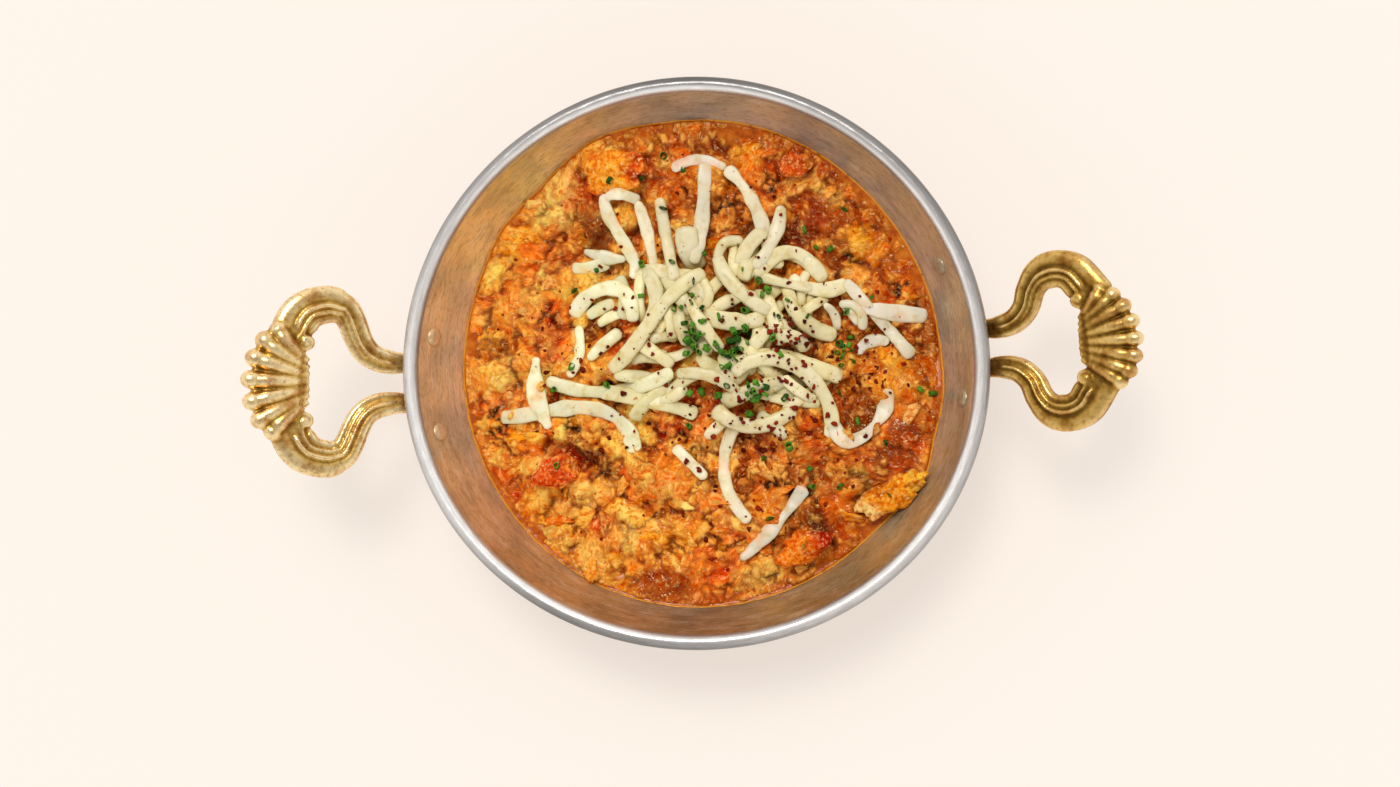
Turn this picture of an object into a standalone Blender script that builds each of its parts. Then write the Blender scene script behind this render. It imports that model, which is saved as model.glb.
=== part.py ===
"""A two-handled copper pan of menemen: eggs scrambled with tomato under a heap of shredded cheese.

Lengths are in millimetres and angles in degrees; solid() turns them into Blender's metres. +Z is up,
+X points from the pan's axis towards its right-hand handle, and the origin is at the centre of the
flat base. Angles run anticlockwise from +X, seen from above.
"""

import math
from typing import NamedTuple

import bmesh
import bpy
import numpy as np
from mathutils import Matrix, Vector
from mathutils.bvhtree import BVHTree
from mathutils.geometry import delaunay_2d_cdt

MM = 0.001
GAP = 0.35  # between neighbouring pieces
AROUND = 52  # facets round the pan and round what fills it

# The pan: a spun copper bowl with a flat base, a flaring wall and a rolled rim.
RIM_X, RIM_Y = 100.5, 97.2  # half the rim's outer width along each axis
RIM_TOP = 45.0
RIM_WAVE = 0.55  # how far its three shallow lobes stand out
RIM_LOBES = 3
RIM_LOBE_ANGLE = 90
BEAD_RADIUS = 2.6
SHEET = 1.5
FLARE = math.radians(30)  # of the wall, from upright
FLOOR_FILLET = 12.0

# The handles: cast brass, each with two feet, two arches and a ribbed grip shaped like a shell.
HANDLE_FOOT = 34.0  # height of the feet's axis where they leave the wall
HANDLE_RISE = 27.0
HANDLE_BEND = 1.15
FOOT_INSET = 7.0  # from the rim's edge back to where the handle starts
HANDLE_REACH = 55.0
FOOT_SIDE = 7.1  # from the handle's axis to each foot
SWAN_RADIUS = 11.7  # the curve from foot to arch
ARCH_RADIUS = 9.8
GRIP_OUT = 42.5  # the grip's middle
# share of the way from the grip's middle to a foot, half width and half height of the bar there
BAR_SECTIONS = (
    (0, 8.3, 3.0),
    (0.22, 7.0, 4.2),
    (0.36, 6.8, 4.2),
    (0.46, 6.5, 4.2),
    (0.56, 4.9, 4.1),
    (0.66, 4.5, 4.0),
    (0.8, 4.3, 3.7),
    (0.9, 3.5, 2.8),
    (1, 3.3, 2.7),
)
CURL_OUT, CURL_SIDE, CURL_HALF_LENGTH = 32.6, 13.6, 2.4
CURL_RADIUS, CURL_HALF_HEIGHT = 2.6, 3.8
RIB_SPREAD = 70  # from the middle rib to the outermost, about the shell's centre
SHELL_OUT, SHELL_LONG = 38.2, 12.2
RIB_ROOT_OUT, RIB_ROOT_SIDE = 33.2, 7.8
RIB_SIDES = 6
RIB_SECTIONS = ((0, 1.3), (0.12, 2.2), (0.6, 2.7), (0.86, 3.2), (1.0, 2.9), (1.09, 1.4))  # share, radius
RIBS_AS_DRAWN = 7.4  # the number of ribs that these radii suit
RIB_BASE, RIB_CROWN = 1.1, 1.3  # height of a rib's ends over the bar's middle, and of its crown over them
PLATE_THICK = 2.4
PLATE_HALF_HEIGHT = 4.3
PLATE_MIDDLE = 34.7
RIVET_RADIUS, RIVET_HEAD_RADIUS, RIVET_HEAD = 1.5, 3.2, 1.2


class Handle(NamedTuple):
    """What tells one handle from the other. Its lengths are multiplied by its size."""

    angle: float  # round the pan, of the middle between its feet
    turn: float  # of its axis about that point, from the pan's radius
    size: float
    arch_out: float
    arch_side: float
    arch_from: float  # the angle at which the arch starts, on the side towards the pan
    shell_wide: float
    shell_turn: float
    ribs: int
    plate: tuple  # the angles that its plate spans
    rivets: tuple  # (angle, height) of each


HANDLES = {
    "left": Handle(
        angle=183.5,
        turn=-4.5,
        size=1.0,
        arch_out=26.4,
        arch_side=16.9,
        arch_from=135,
        shell_wide=19.6,
        shell_turn=-2,
        ribs=7,
        plate=(167.5, 200.5),
        rivets=((173.8, 36.3), (194.5, 36.3)),
    ),
    "right": Handle(
        angle=3.2,
        turn=1.9,
        size=0.95,
        arch_out=25.1,
        arch_side=15.6,
        arch_from=160,
        shell_wide=18.0,
        shell_turn=7,
        ribs=8,
        plate=(-12.5, 28.0),
        rivets=((-7.0, 36.3), (21.9, 34.4)),
    ),
}

# The sauce: a level pool between the eggs and the wall.
SAUCE_LEVEL = 22.0
SAUCE_DEPTH = 7.0
SAUCE_WIDTH = 1.8
SAUCE_POOLS = ((30, 18, 4.0), (180, 25, 1.6), (265, 14, 3.0), (315, 8, 2.5))  # angle, spread, width

# The eggs: a mound that climbs the wall in places.
EGG_CENTRE = 26.8
EGG_EDGE = SAUCE_LEVEL + 0.6
EGG_CLIMBS = ((85, 32, 5.0), (115, 13, 5.0), (145, 11, 2.5), (262, 42, 3.8), (333, 9, 6.0), (352, 9, 2.6))
EGG_OFF_WALL = 1.2
EGG_GRID = 5.9
CURD_SEED = 7
CURD_COUNT = 110
CURD_APART = 9.0
CURD_LEVEL = 1.6
# x, y, half length, half width, heading and rise of the folds and lumps that stand out, and of one cleft
FOLDS = (
    (-15, -39, 24, 6, -36, 6.0),
    (-24, -52, 15, 5, -30, 5.0),
    (-43, -32, 14, 4, -25, -3.5),
    (-64, 24, 13, 9, 70, 5.5),
    (-60, -23, 10, 8, 30, 5.0),
    (-50, 57, 15, 9, 50, 5.5),
    (-35, 73, 12, 8, 20, 6.0),
    (-28, -60, 10, 8, 0, 5.0),
    (26, -70, 10, 7, 15, 5.0),
    (65, -4, 13, 9, 80, 5.5),
    (56, -36, 12, 8, 40, 4.5),
    (50, 48, 14, 7, -45, 4.5),
)

# The larger pieces in the eggs: centre, half sizes, heading, tilt and seed
CHUNKS = {
    "yolk_chunk": ((-27.5, 66.5, 33.0), (10.0, 7.0, 3.6), 8, -6, 1),
    "tomato_back": ((34.0, 69.0, 30.0), (6.2, 4.4, 3.4), 20, 8, 2),
    "tomato_left": ((-50.0, -37.0, 28.4), (9.6, 6.0, 4.2), 25, 5, 3),
    "tomato_front": ((36.0, -62.0, 28.6), (10.0, 5.6, 4.4), 28, -8, 4),
    "egg_flap": ((67.5, -44.5, 29.3), (13.0, 5.2, 1.6), 33, -14, 5),
}
CHUNK_LUMPS = 0.08

# The cheese: soft strips, cut about this wide and thick.
SHRED_WIDTH, SHRED_THICK = 5.2, 2.6
SHRED_STEP = 6.2
SHRED_SIDES = 5
SHRED_TAPER = 0.75
SHRED_SINK = 1.1  # how far a strip presses into the one below
SHRED_REACH = 3.2  # how far round a strip's axis it feels what is below
SHRED_DROOP = 1.3  # how far a strip sags below the line between its neighbours
SHRED_TOUCH = 0.4  # how deep it must press into the heap to be part of it
CORE_X, CORE_Y = 9.0, 9.0
CORE_LONG, CORE_WIDE, CORE_HIGH = 33.0, 25.0, 1.6
HEAP_LONG, HEAP_WIDE = 46.0, 38.0
HEAP_HIGH = 6.4  # of the undersides of its topmost strips over the eggs, at its middle
HEAP_LAYERS, HEAP_LAYER = 3, 0.9  # strips in turn lie this much lower than the last
FILL_SEED = 11
FILL_COUNT = 20
# Points that the strips standing out pass through, those of the heap before those that hang out of it
SHOWN_SHREDS = (
    ((-44, 17), (-37, 25), (-30, 27), (-22, 15)),
    ((-20, 57), (-32, 57), (-28, 47), (-22, 30)),
    ((-21, 57), (-18, 48), (-15, 34)),
    ((-13, 58), (-11, 45), (-7, 29)),
    ((3, 70), (2, 54), (-1, 35)),
    ((10, 68), (17, 60), (24, 38)),
    ((29, 55), (27, 45), (20, 33)),
    ((21, 30), (31, 39), (43, 31)),
    ((-20, 33), (-8, 31), (4, 22)),
    ((3, 32), (-9, 23), (-19, 10), (-30, -2)),
    ((7, 38), (12, 29), (27, 18)),
    ((31, 24), (37, 15), (48, 10)),
    ((-53, -5), (-31, -9), (-8, -2)),
    ((-34, -9), (-17, -12), (0, -17)),
    ((-7, -3), (6, -4), (17, -12)),
    ((6, -15), (18, -21), (34, -15)),
    ((13, -3), (29, 2), (42, -7), (46, -25)),
    ((32, 30), (42, 26), (52, 28)),
    ((51, 29), (60, 19), (74, 3)),
    ((56, 20), (69, 18), (79, 17)),
    ((-9, 68), (0, 71), (10, 68)),
    ((14, -19), (9, -36), (18, -54)),
    ((46, -15), (54, -26), (60, -22), (66, -8)),
    ((-42, 14), (-41, 5), (-45, -4)),
    ((-44, 34), (-38, 34), (-31, 36)),
    ((-40, 40), (-34, 38), (-25, 37)),
    ((-70, -18), (-54, -16), (-36, -15), (-21, -30)),
    ((-57, 3), (-57, -8), (-52, -22)),
    ((37, -42), (29, -53), (15, -67)),
    ((-8, -28), (-3, -33), (3, -39)),
    ((55, 4), (59, 8), (66, 8)),
)

# Chives and pepper flakes: how many lie on the cheese and on the eggs
CHIVE_RADIUS, CHIVE_LENGTH, CHIVE_SIDES = 1.2, 3.0, 5
FLAKE_RADIUS = 1.1
TOPPING_SEED = 5
CHIVES_ON_CHEESE, CHIVES_ON_EGGS = 14, 10
FLAKES_ON_CHEESE, FLAKES_ON_EGGS = 8, 8
CHIVE_MIDDLE, CHIVE_SPREAD = (12, 8), 13
FLAKE_MIDDLE, FLAKE_SPREAD = (30, 4), 17
EGG_TOPPINGS_FROM, EGG_TOPPINGS_TO = 40, 70  # from the heap's middle, and from the pan's axis

COLOURS = {  # base colour, roughness, metallic
    "copper_tinned": ((0.45, 0.28, 0.18), 0.35, 1.0),
    "brass": ((0.55, 0.38, 0.15), 0.35, 1.0),
    "copper_rivet": ((0.42, 0.27, 0.19), 0.4, 1.0),
    "egg": ((0.62, 0.22, 0.06), 0.5, 0.0),
    "sauce": ((0.50, 0.13, 0.02), 0.15, 0.0),
    "cheese": ((0.86, 0.72, 0.42), 0.4, 0.0),
    "tomato": ((0.60, 0.06, 0.01), 0.3, 0.0),
    "yolk": ((0.85, 0.42, 0.05), 0.4, 0.0),
}

ANGLES = np.linspace(0, 2 * math.pi, AROUND, endpoint=False)
FILLET_UP = SHEET + FLOOR_FILLET
BEAD_AXIS = RIM_X - BEAD_RADIUS, RIM_TOP - BEAD_RADIUS
WALL_RUN = (FLOOR_FILLET + (BEAD_AXIS[1] - FILLET_UP) * math.sin(FLARE)) / math.cos(FLARE)
FILLET_OUT = BEAD_AXIS[0] - BEAD_RADIUS - WALL_RUN


def material(name):
    """The named finish, made once."""
    found = bpy.data.materials.get(name)
    if found:
        return found
    made = bpy.data.materials.new(name)
    made.use_nodes = True
    shader = made.node_tree.nodes["Principled BSDF"]
    colour, roughness, metallic = COLOURS[name]
    shader.inputs["Base Color"].default_value = (*colour, 1)
    shader.inputs["Roughness"].default_value = roughness
    shader.inputs["Metallic"].default_value = metallic
    return made


def solid(name, shape, finish, collection=None):
    """An object in metres from a bmesh in millimetres, with its faces turned outwards."""
    bmesh.ops.recalc_face_normals(shape, faces=shape.faces)
    bmesh.ops.scale(shape, vec=(MM, MM, MM), verts=shape.verts)
    mesh = bpy.data.meshes.new(name)
    shape.to_mesh(mesh)
    shape.free()
    mesh.materials.append(material(finish))
    made = bpy.data.objects.new(name, mesh)
    (collection or bpy.context.scene.collection).objects.link(made)
    return made


def lofted(rings, capped=True):
    """A bmesh with quads from each ring of points to the next, and flat caps on both ends."""
    shape = bmesh.new()
    loops = [[shape.verts.new(point) for point in ring] for ring in rings]
    for lower, upper in zip(loops, loops[1:]):
        for i in range(len(lower)):
            shape.faces.new((lower[i - 1], lower[i], upper[i], upper[i - 1]))
    shape.faces.new(loops[0])
    if capped:
        shape.faces.new(loops[-1])
    return shape, loops


def apply_modifiers(target):
    """Bakes the target's modifiers into its mesh."""
    bpy.context.view_layer.update()
    graph = bpy.context.evaluated_depsgraph_get()
    mesh = bpy.data.meshes.new_from_object(target.evaluated_get(graph))
    target.modifiers.clear()
    target.data = mesh


def combine(target, others, operation):
    """Joins a collection of pieces to the target, or cuts them out of it, and removes them."""
    cut = target.modifiers.new(operation.lower(), "BOOLEAN")
    cut.operation = operation
    cut.operand_type = "COLLECTION"
    cut.collection = others
    cut.solver = "EXACT"
    apply_modifiers(target)
    for piece in list(others.objects):
        bpy.data.objects.remove(piece)
    bpy.data.collections.remove(others)
    keep_outer_shell(target)


def keep_outer_shell(target):
    """Fills sealed hollows and drops loose scraps, by keeping only the shell with the largest volume."""
    shape = bmesh.new()
    shape.from_mesh(target.data)
    bmesh.ops.remove_doubles(shape, verts=shape.verts, dist=1e-7)
    bmesh.ops.triangulate(shape, faces=shape.faces)
    waiting = set(shape.faces)
    shells = []
    while waiting:
        shell = {waiting.pop()}
        edge_of = list(shell)
        while edge_of:
            face = edge_of.pop()
            near = {other for edge in face.edges for other in edge.link_faces} & waiting
            waiting -= near
            shell |= near
            edge_of += near
        volume = sum(f.verts[0].co.dot(f.verts[1].co.cross(f.verts[2].co)) for f in shell)
        shells.append((volume, shell))
    largest = max(shells, key=lambda item: item[0])[1]
    bmesh.ops.delete(shape, geom=[f for f in shape.faces if f not in largest], context="FACES")
    shape.to_mesh(target.data)
    shape.free()


def wall_radius(height, offset=0.0):
    """The wall's radius at a height, on the surface that lies offset outside the inner face."""
    radius = FLOOR_FILLET + offset
    below = np.clip(FILLET_UP - height, 0, radius)
    straight = FILLET_OUT + (radius + (height - FILLET_UP) * math.sin(FLARE)) / math.cos(FLARE)
    rounded = FILLET_OUT + np.sqrt(radius**2 - below**2)
    return np.where(height > FILLET_UP - radius * math.sin(FLARE), straight, rounded)


def out_of_round(angle, height):
    """The factor on the pan's radius at an angle in radians: 1 at the base, the rim's outline at the top."""
    oval = RIM_X * RIM_Y / np.hypot(RIM_Y * np.cos(angle), RIM_X * np.sin(angle))
    wave = RIM_WAVE * np.cos(RIM_LOBES * (angle - math.radians(RIM_LOBE_ANGLE)))
    return 1 + ((oval + wave) / RIM_X - 1) * height / RIM_TOP


def ring(radius, height, angles=ANGLES):
    """Points round the pan's axis, at a radius and a height that may differ from angle to angle."""
    radius = radius * out_of_round(angles, height)
    return np.stack([radius * np.cos(angles), radius * np.sin(angles), height + 0 * angles], axis=1)


def swell(angles, places):
    """The sum at each angle of smooth bumps, each with an angle, a spread and a height."""
    total = np.zeros_like(angles)
    for middle, spread, height in places:
        apart = (np.degrees(angles) - middle + 180) % 360 - 180
        total = total + height * np.exp(-((apart / spread) ** 2))
    return total


def make_pan():
    """The bowl, from the base up its outer side, round the rolled rim and down its inner side."""
    fillet = FLOOR_FILLET + SHEET
    bead_out, bead_up = BEAD_AXIS
    outline = [(FILLET_OUT, 0.0)]
    for turn in np.radians([20, 40, 60]):
        outline.append((FILLET_OUT + fillet * math.sin(turn), FILLET_UP - fillet * math.cos(turn)))
    for turn in np.radians([215, 255, 295, 335, 375, 415, 455, 495, 540]):
        outline.append((bead_out + BEAD_RADIUS * math.cos(turn), bead_up + BEAD_RADIUS * math.sin(turn)))
    for turn in np.radians([60, 40, 20, 0]):
        drop = FLOOR_FILLET * math.cos(turn)
        outline.append((FILLET_OUT + FLOOR_FILLET * math.sin(turn), FILLET_UP - drop))
    shape, _ = lofted([ring(radius, height) for radius, height in outline])
    return solid("pan", shape, "copper_tinned")


def tube(centres, across, ups, half_widths, half_heights, sides):
    """Rings of a tube along its centres, each with its own directions and half sizes."""
    turns = np.linspace(0, 2 * math.pi, sides, endpoint=False)
    rings = []
    for centre, side, up, wide, high in zip(centres, across, ups, half_widths, half_heights):
        rings.append([centre + side * wide * math.cos(t) + up * high * math.sin(t) for t in turns])
    return rings


class HandlePlan:
    """The curved surface that a handle is laid out on, rising from the wall under the rim."""

    def __init__(self, handle):
        self.size = handle.size
        self.around = Matrix.Rotation(math.radians(handle.angle), 3, "Z")
        self.aside = Matrix.Rotation(math.radians(handle.turn), 3, "Z")
        self.rim = Vector((RIM_X * float(out_of_round(math.radians(handle.angle), RIM_TOP)), 0, 0))

    def place(self, out, side, up=0.0):
        """A point, from its distances outside the rim, to the side and above the surface."""
        share = max(0.0, (out + FOOT_INSET) / (HANDLE_REACH + FOOT_INSET))
        height = HANDLE_FOOT + HANDLE_RISE * share**HANDLE_BEND
        slope = HANDLE_RISE * HANDLE_BEND * share ** (HANDLE_BEND - 1) / (HANDLE_REACH + FOOT_INSET)
        lean = math.hypot(slope, 1)
        level = Vector((self.size * (out - up * slope / lean), self.size * side, height + self.size * up / lean))
        return self.around @ (self.rim + self.aside @ level)

    def tube(self, points, half_widths, half_heights, sides):
        """A closed tube along (out, side, up) points of the plan."""
        points = np.array(points, float)
        along = np.gradient(points[:, :2], axis=0)
        along /= np.hypot(along[:, 0], along[:, 1])[:, None]
        turns = np.linspace(0, 2 * math.pi, sides, endpoint=False)
        rings = []
        for (out, side, up), (ax, ay), wide, high in zip(points, along, half_widths, half_heights):
            rings.append(
                [
                    self.place(
                        out - ay * wide * math.cos(t), side + ax * wide * math.cos(t), up + high * math.sin(t)
                    )
                    for t in turns
                ]
            )
        return lofted(rings)[0]


def handle_line(handle):
    """(out, side) points of half the handle's middle line, from a foot to the middle of the grip."""
    points = [(-FOOT_INSET, FOOT_SIDE), (-1.0, FOOT_SIDE)]
    swan_out = handle.arch_out - ARCH_RADIUS - SWAN_RADIUS
    swan_side = FOOT_SIDE + SWAN_RADIUS
    for turn in np.radians([-90, -60, -30]):
        points.append((swan_out + SWAN_RADIUS * math.cos(turn), swan_side + SWAN_RADIUS * math.sin(turn)))
    for turn in np.radians([handle.arch_from, (handle.arch_from + 90) / 2, 90, 55, 22]):
        out = handle.arch_out + ARCH_RADIUS * math.cos(turn)
        points.append((out, handle.arch_side + ARCH_RADIUS * math.sin(turn)))
    points += [(GRIP_OUT - 4.6, 13.2), (GRIP_OUT - 1.2, 7.0), (GRIP_OUT, 0.0)]
    return points


def rib_ends(handle, share):
    """(out, side) of a rib's ends, at the hole's edge and at the edge of the shell."""
    turn = math.radians(share * RIB_SPREAD)
    long, wide = SHELL_LONG * math.cos(turn), handle.shell_wide * math.sin(turn)
    skew = math.radians(handle.shell_turn)
    root = np.array((RIB_ROOT_OUT, share * RIB_ROOT_SIDE))
    out = SHELL_OUT + long * math.cos(skew) - wide * math.sin(skew)
    return root, np.array((out, long * math.sin(skew) + wide * math.cos(skew)))


def plate_shape(start, end):
    """The plate that lies on the outside of the wall between two angles, lower towards its rounded ends."""
    behind, front = SHEET + GAP, SHEET + GAP + PLATE_THICK
    sections = []
    for share in np.linspace(-1, 1, 9):
        turn = np.radians([(start + end) / 2 + share * (end - start) / 2])
        tall = PLATE_HALF_HEIGHT * math.sqrt(1 - 0.75 * share**4)
        corners = []
        for up, offset in ((-1, behind), (1, behind), (0.8, front), (-0.8, front)):
            height = PLATE_MIDDLE + up * tall
            corners.append(ring(wall_radius(height, offset), height, turn)[0])
        sections.append(corners)
    return lofted(sections)[0]


def make_handle(side):
    """One cast handle: the looped bar with its curls, the ribs of the grip, and the plate on the wall."""
    handle = HANDLES[side]
    plan = HandlePlan(handle)
    half = handle_line(handle)
    line = half + [(out, -across) for out, across in half[-2::-1]]
    shares = np.abs(np.linspace(-1, 1, len(line)))
    keys, half_widths, half_heights = np.array(BAR_SECTIONS).T
    widths = np.interp(shares, keys, half_widths)
    heights = np.interp(shares, keys, half_heights)
    shape = plan.tube([(out, across, 0) for out, across in line], widths, heights, 8)
    cast = solid(f"handle_{side}", shape, "brass")

    extras = bpy.data.collections.new("handle_extras")
    for i in range(handle.ribs):
        root, knob = rib_ends(handle, 2 * i / (handle.ribs - 1) - 1)
        steps, radii = np.array(RIB_SECTIONS).T
        radii = radii * RIBS_AS_DRAWN / handle.ribs
        crowns = RIB_BASE + RIB_CROWN * np.sin(math.pi * np.minimum(steps, 1))
        points = [(*(root + (knob - root) * step), crown) for step, crown in zip(steps, crowns)]
        shape = plan.tube(points, radii, radii * 1.15, RIB_SIDES)
        solid(f"rib_{i}", shape, "brass", extras)
    for across in (-1, 1):
        outs = CURL_OUT + CURL_HALF_LENGTH * np.array((-1, -0.5, 0.5, 1))
        points = [(out, across * CURL_SIDE, 1.0) for out in outs]
        swelling = np.array((0.45, 1, 1, 0.45))
        shape = plan.tube(points, CURL_RADIUS * swelling, CURL_HALF_HEIGHT * swelling, 8)
        solid(f"curl_{across}", shape, "brass", extras)
    solid("plate", plate_shape(*handle.plate), "brass", extras)
    combine(cast, extras, "UNION")
    return cast


def rivet_matrix(angle, height):
    """Where a rivet goes through the wall: its origin on the inner face, its Z axis out through the wall."""
    turn = math.radians(angle)
    origin = Vector(ring(wall_radius(height), height, np.array([turn]))[0])
    tilt = Matrix.Rotation(turn, 4, "Z") @ Matrix.Rotation(math.pi / 2 + FLARE, 4, "Y")
    return Matrix.Translation(origin) @ tilt


def turned(profile, sides, matrix):
    """A bmesh turned about Z from (radius, height) pairs, then placed by a matrix."""
    turns = np.linspace(0, 2 * math.pi, sides, endpoint=False)
    rings = [[matrix @ Vector((r * math.cos(t), r * math.sin(t), z)) for t in turns] for r, z in profile]
    return lofted(rings)[0]


def make_rivet(name, angle, height, pierced):
    """A rivet with a domed head on each side, and the clear hole for it in the pieces it goes through."""
    matrix = rivet_matrix(angle, height)
    outside = SHEET + GAP + PLATE_THICK + GAP
    profile = (
        (RIVET_HEAD_RADIUS * 0.6, -GAP - RIVET_HEAD),
        (RIVET_HEAD_RADIUS, -GAP),
        (RIVET_RADIUS, -GAP),
        (RIVET_RADIUS, outside),
        (RIVET_HEAD_RADIUS, outside),
        (RIVET_HEAD_RADIUS * 0.6, outside + RIVET_HEAD),
    )
    solid(name, turned(profile, 8, matrix), "copper_rivet")
    bore = RIVET_RADIUS + GAP
    cutter = solid(f"{name}_hole", turned(((bore, -4), (bore, outside + 4)), 8, matrix), "copper_rivet")
    cutter.hide_render = True
    cutter.display_type = "WIRE"
    for piece in pierced:
        hole = piece.modifiers.new(f"{name}_hole", "BOOLEAN")
        hole.object = cutter
        hole.solver = "EXACT"


def sauce_inner_radius(angles):
    """The inner edge of the sauce, at its level."""
    return wall_radius(SAUCE_LEVEL, -GAP) - SAUCE_WIDTH - swell(angles, SAUCE_POOLS)


def make_sauce():
    """A ring of sauce between the eggs and the wall."""
    floor = SAUCE_LEVEL - SAUCE_DEPTH
    inner = sauce_inner_radius(ANGLES)
    lower = np.minimum(inner, wall_radius(floor, -GAP) - SAUCE_WIDTH)
    sections = [
        ring(lower, floor),
        ring(wall_radius(floor, -GAP), floor),
        ring(wall_radius(SAUCE_LEVEL, -GAP), SAUCE_LEVEL),
        ring(inner, SAUCE_LEVEL),
    ]
    shape = bmesh.new()
    loops = [[shape.verts.new(point) for point in section] for section in sections]
    for lower_loop, upper_loop in zip(loops, loops[1:] + loops[:1]):
        for i in range(AROUND):
            shape.faces.new((lower_loop[i - 1], lower_loop[i], upper_loop[i], upper_loop[i - 1]))
    return solid("sauce", shape, "sauce")


def egg_edge(angles):
    """(radius, height) of the eggs' edge: beside the sauce, or up against the wall where they climb it."""
    climb = swell(angles, EGG_CLIMBS)
    height = EGG_EDGE + climb
    share = np.clip(climb / 3.0, 0, 1)
    beside = sauce_inner_radius(angles) - GAP
    against = wall_radius(height) - EGG_OFF_WALL
    return beside + (against - beside) * share, height


def curds():
    """x, y, half length, half width, heading and rise of every lump: the folds, then a seeded scatter."""
    draw = np.random.default_rng(CURD_SEED)
    found = list(FOLDS)
    places = []
    while len(places) < CURD_COUNT:
        x, y = draw.uniform(-82, 82, 2)
        size = draw.uniform(5.5, 10.5)
        stretch, heading, rise = draw.uniform(0.65, 1.0), draw.uniform(0, 180), draw.uniform(2.0, 5.0)
        apart = CURD_APART * (0.75 if len(places) > CURD_COUNT * 0.7 else 1.0)
        if math.hypot(x, y) > 82 or any(math.hypot(x - a, y - b) < apart for a, b in places):
            if draw.uniform() > 0.02:
                continue
        places.append((x, y))
        found.append((x, y, size, size * stretch, heading, rise))
    return found


def egg_height(x, y):
    """The height of the eggs' surface over points of the plan."""
    angles = np.arctan2(y, x)
    edge_radius, edge_height = egg_edge(angles)
    edge_radius = edge_radius * out_of_round(angles, edge_height)
    share = np.clip(np.hypot(x, y) / edge_radius, 0, 1)
    relief = np.zeros_like(x)
    clefts = np.zeros_like(x)
    for middle_x, middle_y, long, wide, heading, rise in curds():
        turn = math.radians(heading)
        along = (x - middle_x) * math.cos(turn) + (y - middle_y) * math.sin(turn)
        across = (y - middle_y) * math.cos(turn) - (x - middle_x) * math.sin(turn)
        dome = np.sqrt(np.clip(1 - (along / long) ** 2 - (across / wide) ** 2, 0, 1))
        if rise > 0:
            relief = np.maximum(relief, rise * dome)
        else:
            clefts = np.minimum(clefts, rise * dome)
    base = EGG_CENTRE + (edge_height - EGG_CENTRE) * share**3
    return base + (relief + clefts - CURD_LEVEL) * (1 - share**10)


def make_menemen():
    """The eggs: down the wall to the floor, round the sauce, with the lumps and folds of the top."""
    floor = SHEET + GAP
    notch = SAUCE_LEVEL - SAUCE_DEPTH - GAP
    beside = sauce_inner_radius(ANGLES) - GAP
    notch_inner = np.minimum(beside, wall_radius(notch, -GAP) - SAUCE_WIDTH - GAP)
    edge_radius, edge_height = egg_edge(ANGLES)
    rings = [
        ring(FILLET_OUT - 1, floor),
        ring(wall_radius(5.0, -GAP), 5.0),
        ring(wall_radius(9.0, -GAP), 9.0),
        ring(wall_radius(notch, -GAP), notch),
        ring(notch_inner, notch),
        ring(beside, SAUCE_LEVEL + GAP),
        ring(edge_radius, edge_height),
    ]
    shape, loops = lofted(rings, capped=False)
    rim = loops[-1]
    inside = []
    columns = int(2 * RIM_X / EGG_GRID)
    for row in range(-columns, columns):
        for column in range(-columns, columns):
            x = (column + 0.5 * (row % 2)) * EGG_GRID
            y = row * EGG_GRID * math.sqrt(0.75)
            angle = np.arctan2(np.array([y]), np.array([x]))
            limit, height = egg_edge(angle)
            if math.hypot(x, y) < (limit * out_of_round(angle, height))[0] - EGG_GRID * 0.7:
                inside.append((x, y))
    inside = np.array(inside)
    heights = egg_height(inside[:, 0], inside[:, 1])
    middle = [shape.verts.new((x, y, z)) for (x, y), z in zip(inside, heights)]
    points = [Vector(v.co.xy) for v in rim + middle]
    outline = list(range(len(rim)))
    _, _, faces, sources, _, _ = delaunay_2d_cdt(points, [], [outline], 1, 1e-4)
    corners = rim + middle
    for face in faces:
        shape.faces.new([corners[sources[i][0]] for i in face])
    return solid("menemen", shape, "egg")


def lump(centre, sizes, heading, tilt, seed, extra=0.0):
    """An uneven rounded piece, with all its half sizes made larger by extra."""
    draw = np.random.default_rng(seed)
    phases = draw.uniform(0, 2 * math.pi, 3)
    shape = bmesh.new()
    bmesh.ops.create_icosphere(shape, subdivisions=2, radius=1.0)
    turn = Matrix.Rotation(math.radians(heading), 3, "Z") @ Matrix.Rotation(math.radians(tilt), 3, "Y")
    for vert in shape.verts:
        waves = sum(math.sin(3 * vert.co[k] + phases[k]) for k in range(3))
        grown = Vector([(sizes[k] + extra) * vert.co[k] * (1 + CHUNK_LUMPS * waves) for k in range(3)])
        vert.co = turn @ grown + Vector(centre)
    return shape


def make_chunks(menemen):
    """The pieces of tomato and set egg, and the hollow for each in the eggs."""
    hollows = bpy.data.collections.new("hollows")
    for name, (centre, sizes, heading, tilt, seed) in CHUNKS.items():
        finish = "tomato" if name.startswith("tomato") else "yolk"
        solid(name, lump(centre, sizes, heading, tilt, seed), finish)
        solid(f"{name}_hollow", lump(centre, sizes, heading, tilt, seed, 1.3 * GAP), "egg", hollows)
    combine(menemen, hollows, "DIFFERENCE")


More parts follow.
